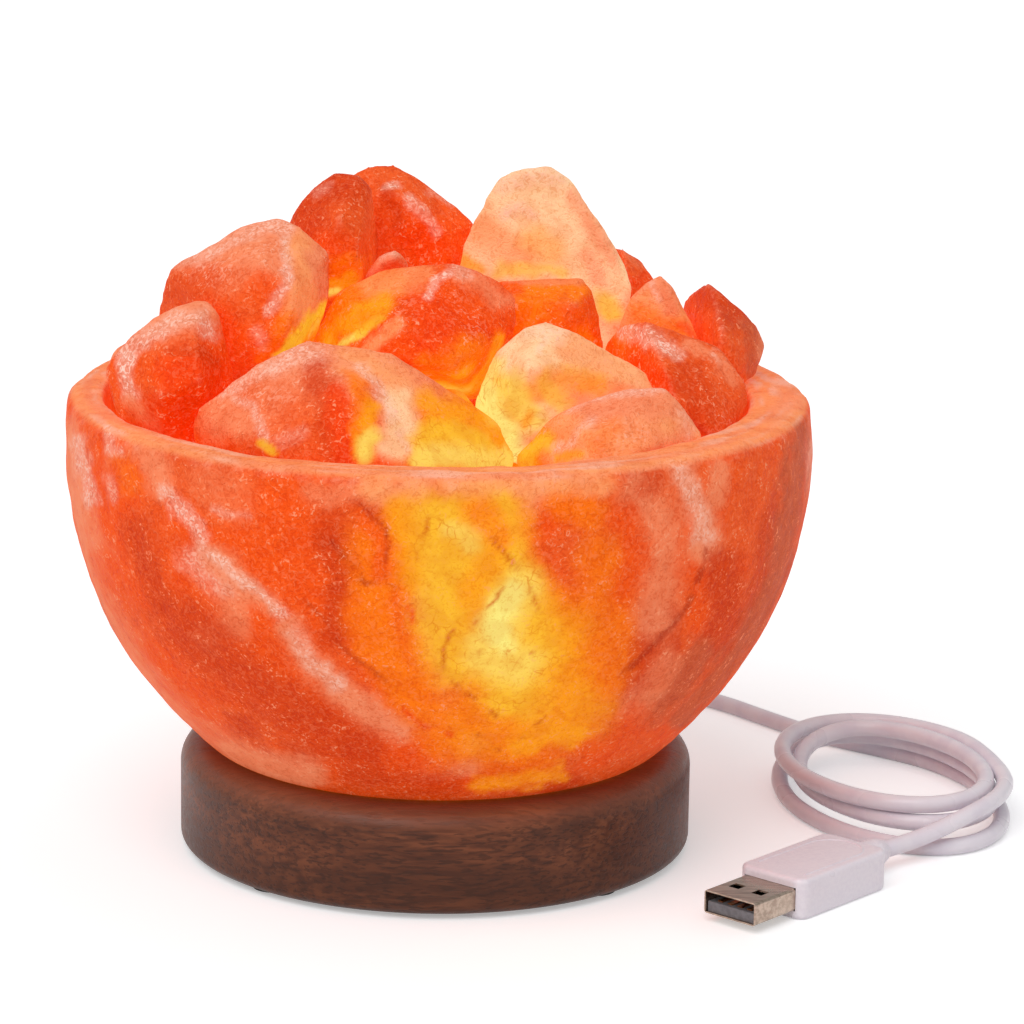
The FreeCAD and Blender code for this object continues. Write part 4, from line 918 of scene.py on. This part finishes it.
class Shader:
    """A material being wired: new nodes, with their inputs set or joined by name."""

    def __init__(self, name):
        self.material = bpy.data.materials.new(name)
        self.material.use_nodes = True
        self.nodes = self.material.node_tree.nodes
        self.links = self.material.node_tree.links
        self.surface = self.nodes["Principled BSDF"]
        self.place = self.nodes.new("ShaderNodeTexCoord").outputs["Object"]

    def add(self, kind, settings=None, **inputs):
        """A node of that kind. An input is a number, a colour or another node's output."""
        node = self.nodes.new(kind)
        for key, value in (settings or {}).items():
            setattr(node, key, value)
        for key, value in inputs.items():
            self.join(node, key.replace("_", " "), value)
        return node

    def join(self, node, name, value):
        """Sets or joins one input, named as it is or, like in0, by its number."""
        by_number = name.startswith("in") and name[2:].isdigit()
        slot = node.inputs[int(name[2:])] if by_number else node.inputs[name]
        if isinstance(value, bpy.types.NodeSocket):
            self.links.new(value, slot)
        else:
            slot.default_value = value

    def noise(self, size, detail=3.0, twist=0.0, place=None):
        """Cloudy noise with lumps about one size across, in metres."""
        node = self.add("ShaderNodeTexNoise", Scale=0.5 / size, Detail=detail, Distortion=twist)
        self.join(node, "Vector", place or self.place)
        return node.outputs["Fac"]

    def math(self, operation, first, second=0.0):
        """One sum on two numbers."""
        return self.add("ShaderNodeMath", {"operation": operation}, in0=first, in1=second).outputs[0]

    def times(self, first, second):
        """Two numbers multiplied."""
        return self.math("MULTIPLY", first, second)

    def between(self, value, low, high, low_out=0.0, high_out=1.0):
        """Stretches low..high to low_out..high_out, smoothly, and holds it there."""
        node = self.add("ShaderNodeMapRange", {"interpolation_type": "SMOOTHSTEP"}, Value=value)
        for key, number in (("From Min", low), ("From Max", high), ("To Min", low_out), ("To Max", high_out)):
            self.join(node, key, number)
        return node.outputs["Result"]

    def mix(self, first, second, share):
        """A colour between two."""
        node = self.add("ShaderNodeMix", {"data_type": "RGBA"})
        self.join(node, "in0", share)
        self.join(node, "in6", first if isinstance(first, bpy.types.NodeSocket) else (*first, 1.0))
        self.join(node, "in7", second if isinstance(second, bpy.types.NodeSocket) else (*second, 1.0))
        return node.outputs[2]

    def tinted(self, colour, tint, share):
        """A colour multiplied by a tint, by that share."""
        node = self.add("ShaderNodeMix", {"data_type": "RGBA", "blend_type": "MULTIPLY"})
        self.join(node, "in0", share)
        self.join(node, "in6", colour)
        self.join(node, "in7", (*tint, 1.0))
        return node.outputs[2]

    def bump(self, height, depth, below=None):
        """A relief of that depth in metres, on top of the one below."""
        node = self.add("ShaderNodeBump", Height=height, Strength=1.0, Distance=depth)
        if below is not None:
            self.join(node, "Normal", below)
        return node.outputs["Normal"]

    def finish(self, **inputs):
        """Joins the surface's inputs and gives the material."""
        for key, value in inputs.items():
            if isinstance(value, tuple):
                value = (*value, 1.0)
            self.join(self.surface, key.replace("_", " "), value)
        return self.material


CRACKS_PER_METRE = 420.0
WOBBLES_PER_METRE = 300.0
CRACK_SHIFT = 4 * MM
# heights of the base's painted highlight and of its painted shade
HIGHLIGHT_HEIGHTS = (16 * MM, 20 * MM)
SHADE_HEIGHTS = (13 * MM, 5 * MM)


def salt_material():
    """Rock salt lit from inside: fine crystal grain, curly white flecks, painted shade in the hollows of the
    grain, and light in its yellow places.
    """
    salt = Shader("rock_salt")
    tone = salt.add("ShaderNodeAttribute", {"attribute_name": "tone"}).outputs["Color"]
    glow = salt.add("ShaderNodeAttribute", {"attribute_name": "glow"}).outputs["Fac"]
    frost = salt.add("ShaderNodeAttribute", {"attribute_name": "frost"}).outputs["Fac"]

    grain = salt.noise(0.42 * MM, detail=1.0, twist=1.2)
    lumps = salt.noise(2.2 * MM, detail=3.0, twist=0.5)
    unlit = salt.between(glow, 0.15, 0.75, 1.0, 0.35)
    curls = salt.times(salt.between(grain, 0.49, 0.66), salt.between(frost, 0.0, 1.0, 0.18, 0.88))
    curls = salt.times(curls, unlit)
    patches = salt.between(lumps, 0.48, 0.60, 0.15, 0.75)
    flecks = salt.times(salt.between(grain, 0.62, 0.68), patches)
    whiteness = salt.math("MAXIMUM", curls, salt.times(flecks, unlit))
    # painted shade: the low places of the grain and of the lumps, which the relief sinks, are darker and
    # deeper in colour
    depth = salt.between(glow, 0.2, 0.8, 0.50, 0.35)
    hollow_shade = salt.times(salt.between(grain, 0.47, 0.32), depth)
    shaded = salt.tinted(tone, (0.80, 0.50, 0.30), hollow_shade)
    shaded = salt.tinted(shaded, (0.86, 0.62, 0.48), salt.between(lumps, 0.58, 0.36, 0.0, 0.45))
    white = salt.mix(WARM_FLECK, WHITE_FLECK, frost)
    coloured = salt.mix(shaded, white, whiteness)

    cells = salt.add("ShaderNodeTexVoronoi", {"feature": "DISTANCE_TO_EDGE"}, Scale=CRACKS_PER_METRE)
    wobble = salt.add("ShaderNodeTexNoise", Scale=WOBBLES_PER_METRE, Detail=2.0)
    salt.join(wobble, "Vector", salt.place)
    shifted = salt.add("ShaderNodeVectorMath", {"operation": "MULTIPLY_ADD"}, in0=wobble.outputs["Color"])
    salt.join(shifted, "in1", (CRACK_SHIFT, CRACK_SHIFT, CRACK_SHIFT))
    salt.join(shifted, "in2", salt.place)
    salt.join(cells, "Vector", shifted.outputs[0])
    cracks = salt.between(cells.outputs["Distance"], 0.0, 0.08, 1.0, 0.0)
    cracks = salt.times(cracks, salt.between(salt.noise(3 * MM), 0.50, 0.62))
    cracks = salt.times(cracks, salt.between(glow, 0.4, 0.8, 0.0, 0.55))
    coloured = salt.mix(coloured, LIT_CRACK, cracks)

    skin = salt.mix((0.0, 0.0, 0.0), coloured, salt.between(glow, 0.1, 0.9, 0.84, 0.15))
    own_light = salt.mix((0.0, 0.0, 0.0), coloured, salt.between(glow, 0.0, 0.9, 0.30, 0.88))

    relief = salt.bump(lumps, 0.7 * MM)
    relief = salt.bump(grain, 0.30 * MM, relief)
    return salt.finish(
        Base_Color=skin,
        Roughness=salt.between(grain, 0.3, 0.7, 0.50, 0.75),
        Emission_Color=own_light,
        Emission_Strength=1.0,
        Specular_IOR_Level=0.08,
        Normal=relief,
    )


def wood_material():
    """Dark walnut, oiled: short fine strokes of grain, darker pores, a painted highlight along the top edge
    and painted shade towards the bottom.
    """
    wood = Shader("dark_walnut")
    stretched = wood.add("ShaderNodeMapping", Vector=wood.place)
    stretched.inputs["Rotation"].default_value = (0.0, math.radians(6), math.radians(8))
    stretched.inputs["Scale"].default_value = (0.11, 0.8, 1.0)
    grain = wood.noise(0.55 * MM, detail=4.0, twist=0.4, place=stretched.outputs[0])
    fine = wood.noise(0.28 * MM, detail=2.0, place=stretched.outputs[0])
    wide = wood.noise(4.5 * MM, detail=3.0, twist=0.8, place=stretched.outputs[0])
    colour = wood.mix(WALNUT, WALNUT_LIGHT, wood.between(grain, 0.32, 0.68))
    colour = wood.mix(colour, WALNUT_STREAK, wood.between(wide, 0.60, 0.40, 0.0, 0.5))
    pores = wood.between(fine, 0.40, 0.47, 1.0, 0.0)
    colour = wood.mix(colour, WALNUT_PORE, wood.times(pores, 0.55))
    position = wood.add("ShaderNodeNewGeometry").outputs["Position"]
    height = wood.add("ShaderNodeSeparateXYZ", Vector=position).outputs["Z"]
    # painted highlight: the rounded top edge is paler, from 16 to 20 mm up
    colour = wood.mix(colour, WALNUT_HIGHLIGHT, wood.between(height, *HIGHLIGHT_HEIGHTS, 0.0, 0.40))
    # painted shade: the side darkens towards the bottom, most below 5 mm up
    colour = wood.mix(colour, WALNUT_SHADE, wood.between(height, *SHADE_HEIGHTS, 0.0, 0.45))
    relief = wood.bump(grain, 0.06 * MM)
    relief = wood.bump(pores, -0.03 * MM, relief)
    return wood.finish(
        Base_Color=colour,
        Roughness=wood.between(grain, 0.3, 0.7, 0.34, 0.46),
        Specular_IOR_Level=0.25,
        Normal=relief,
    )


class Finish:
    """A plain material's numbers: colour, how it varies, gloss, metal and the size and depth of its skin."""

    def __init__(self, colour, other, rough=0.45, metal=0.0, grain=1.2, depth=0.02, stretch=1.0, clear=0.0):
        self.colour = linear(*colour)
        self.other = linear(*other)
        self.rough = rough
        self.metal = metal
        self.grain = grain * MM
        self.depth = depth * MM
        self.stretch = stretch
        self.clear = clear


FINISHES = {
    "foot_rubber": Finish((44, 42, 42), (62, 60, 59), rough=0.75, grain=0.5, depth=0.05),
    "cover_board": Finish((52, 44, 38), (74, 62, 52), rough=0.7, grain=0.6, depth=0.05, stretch=0.2),
    "screw_steel": Finish((168, 168, 172), (128, 128, 132), rough=0.3, metal=1.0, grain=0.5),
    "holder_plastic": Finish((40, 38, 37), (56, 53, 50), rough=0.5, grain=0.5, depth=0.03),
    "brass": Finish((206, 172, 96), (168, 130, 62), rough=0.3, metal=1.0, grain=0.6, stretch=0.3),
    "clear_glass": Finish((255, 244, 226), (255, 236, 208), rough=0.06, clear=0.9, depth=0.002),
    "nickel_cap": Finish((196, 192, 184), (150, 146, 138), rough=0.26, metal=1.0, grain=0.5),
    "black_insulator": Finish((30, 29, 30), (44, 42, 42), rough=0.25, grain=0.8),
    "solder": Finish((176, 176, 178), (140, 140, 144), rough=0.4, metal=1.0, grain=0.5, depth=0.06),
    "stem_white": Finish((226, 224, 216), (206, 204, 196), rough=0.3, grain=0.8),
    "filament_yellow": Finish((244, 190, 62), (230, 160, 40), rough=0.5, grain=0.4),
    "white_jacket": Finish((236, 229, 236), (226, 217, 228), rough=0.30, grain=2.5, depth=0.03),
    "grommet_rubber": Finish((214, 206, 212), (196, 188, 194), rough=0.55, grain=0.6, depth=0.03),
    "white_overmould": Finish((239, 231, 238), (230, 221, 231), rough=0.32, grain=0.35, depth=0.02),
    "plug_steel": Finish((190, 172, 156), (150, 132, 118), rough=0.26, metal=1.0, grain=0.4, stretch=0.2),
    "plug_insulator": Finish((120, 118, 122), (98, 96, 100), rough=0.5, grain=0.5),
    "plug_copper": Finish((198, 128, 84), (158, 96, 60), rough=0.3, metal=1.0, grain=0.4),
    "wire_red": Finish((170, 34, 28), (140, 26, 22), rough=0.45, grain=0.8),
    "wire_black": Finish((34, 33, 34), (50, 48, 48), rough=0.45, grain=0.8),
}


def plain_material(name, finish):
    """Metal, plastic, rubber, board or glass: two close colours, a fine skin and worn gloss."""
    made = Shader(name)
    stretched = made.add("ShaderNodeMapping", Vector=made.place)
    stretched.inputs["Scale"].default_value = (finish.stretch, 1.0, 1.0)
    skin = made.noise(finish.grain, detail=4.0, place=stretched.outputs[0])
    cloud = made.noise(9 * MM, detail=3.0)
    share = made.times(made.between(skin, 0.35, 0.65), made.between(cloud, 0.3, 0.7, 0.35, 1.0))
    return made.finish(
        Base_Color=made.mix(finish.colour, finish.other, share),
        Roughness=made.between(cloud, 0.3, 0.7, finish.rough * 0.85, finish.rough * 1.2),
        Metallic=finish.metal,
        Transmission_Weight=finish.clear,
        Normal=made.bump(skin, finish.depth),
    )


def dress_nodes():
    """Gives every CAD node the material of its slot, and returns the materials by slot."""
    made = {name: plain_material(name, finish) for name, finish in FINISHES.items()}
    made["dark_wood"] = wood_material()
    salt = salt_material()
    for slot in ("salt_bowl", "salt_red", "salt_pale", "salt_orange"):
        made[slot] = salt
    for part in frame["record"]["subparts"]:
        if part["material_slot"] in made:
            mesh = frame["nodes"][part["node"]].data
            mesh.materials.clear()
            mesh.materials.append(made[part["material_slot"]])
    return made


# ------------------------ light and floor

FLOOR_COLOUR = (0.86, 0.86, 0.87)
FLOOR_GLARE = 0.36
FLOOR_HALF = 6.0
ROOM_STRENGTH = 0.52
KEY_STRENGTH = 1.4
KEY_SPREAD = math.radians(50)
KEY_TURN = (math.radians(38), 0.0, math.radians(-28))


def make_floor():
    """A wide pale floor that fades into white, as in a product picture, and keeps the shadow."""
    mesh = bpy.data.meshes.new("studio_floor")
    half = FLOOR_HALF
    corners = [(-half, -half, 0), (half, -half, 0), (half, half, 0), (-half, half, 0)]
    mesh.from_pydata(corners, [], [(0, 1, 2, 3)])
    floor = new_object("studio_floor", mesh)
    paper = Shader("floor_paper")
    seen = paper.add("ShaderNodeLightPath")
    direct = paper.math("MAXIMUM", seen.outputs["Is Camera Ray"], seen.outputs["Is Glossy Ray"])
    direct = paper.math("MAXIMUM", direct, seen.outputs["Is Transmission Ray"])
    glare = paper.times(direct, FLOOR_GLARE)
    mesh.materials.append(paper.finish(
        Base_Color=FLOOR_COLOUR,
        Roughness=0.9,
        Specular_IOR_Level=0.1,
        Emission_Color=(1.0, 1.0, 1.0),
        Emission_Strength=glare,
    ))


def make_light():
    """An even white room, with one wide soft lamp high on the left in front."""
    world = bpy.data.worlds.new("studio")
    world.use_nodes = True
    world.node_tree.nodes["Background"].inputs["Color"].default_value = (1.0, 1.0, 1.0, 1.0)
    world.node_tree.nodes["Background"].inputs["Strength"].default_value = ROOM_STRENGTH
    bpy.context.scene.world = world
    data = bpy.data.lights.new("soft_key", "SUN")
    data.energy = KEY_STRENGTH
    data.angle = KEY_SPREAD
    lamp = new_object("soft_key", data)
    lamp.rotation_euler = KEY_TURN
    bpy.context.scene.view_settings.view_transform = "Standard"


# ------------------------ put together

make_camera()
cord = make_cord()
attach(cord, "base")
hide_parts("cord_lead", "cord_coil", "cord_tail")
outline = make_plug_outline()
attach(outline, "base")

materials = dress_nodes()
cord.data.materials.append(materials["white_jacket"])
outline.data.materials.append(materials["white_overmould"])
rock_planes = {name: face_planes("chunk_" + name) for name in ROCKS}
for number, (name, rock) in enumerate(ROCKS.items()):
    piece = make_rock(name, rock, 1000 * (number + 1), rock_planes)
    piece.data.materials.append(materials["salt_orange"])
bowl = make_bowl()
bowl.data.materials.append(materials["salt_bowl"])

make_floor()
make_light()

bpy.context.view_layer.update()
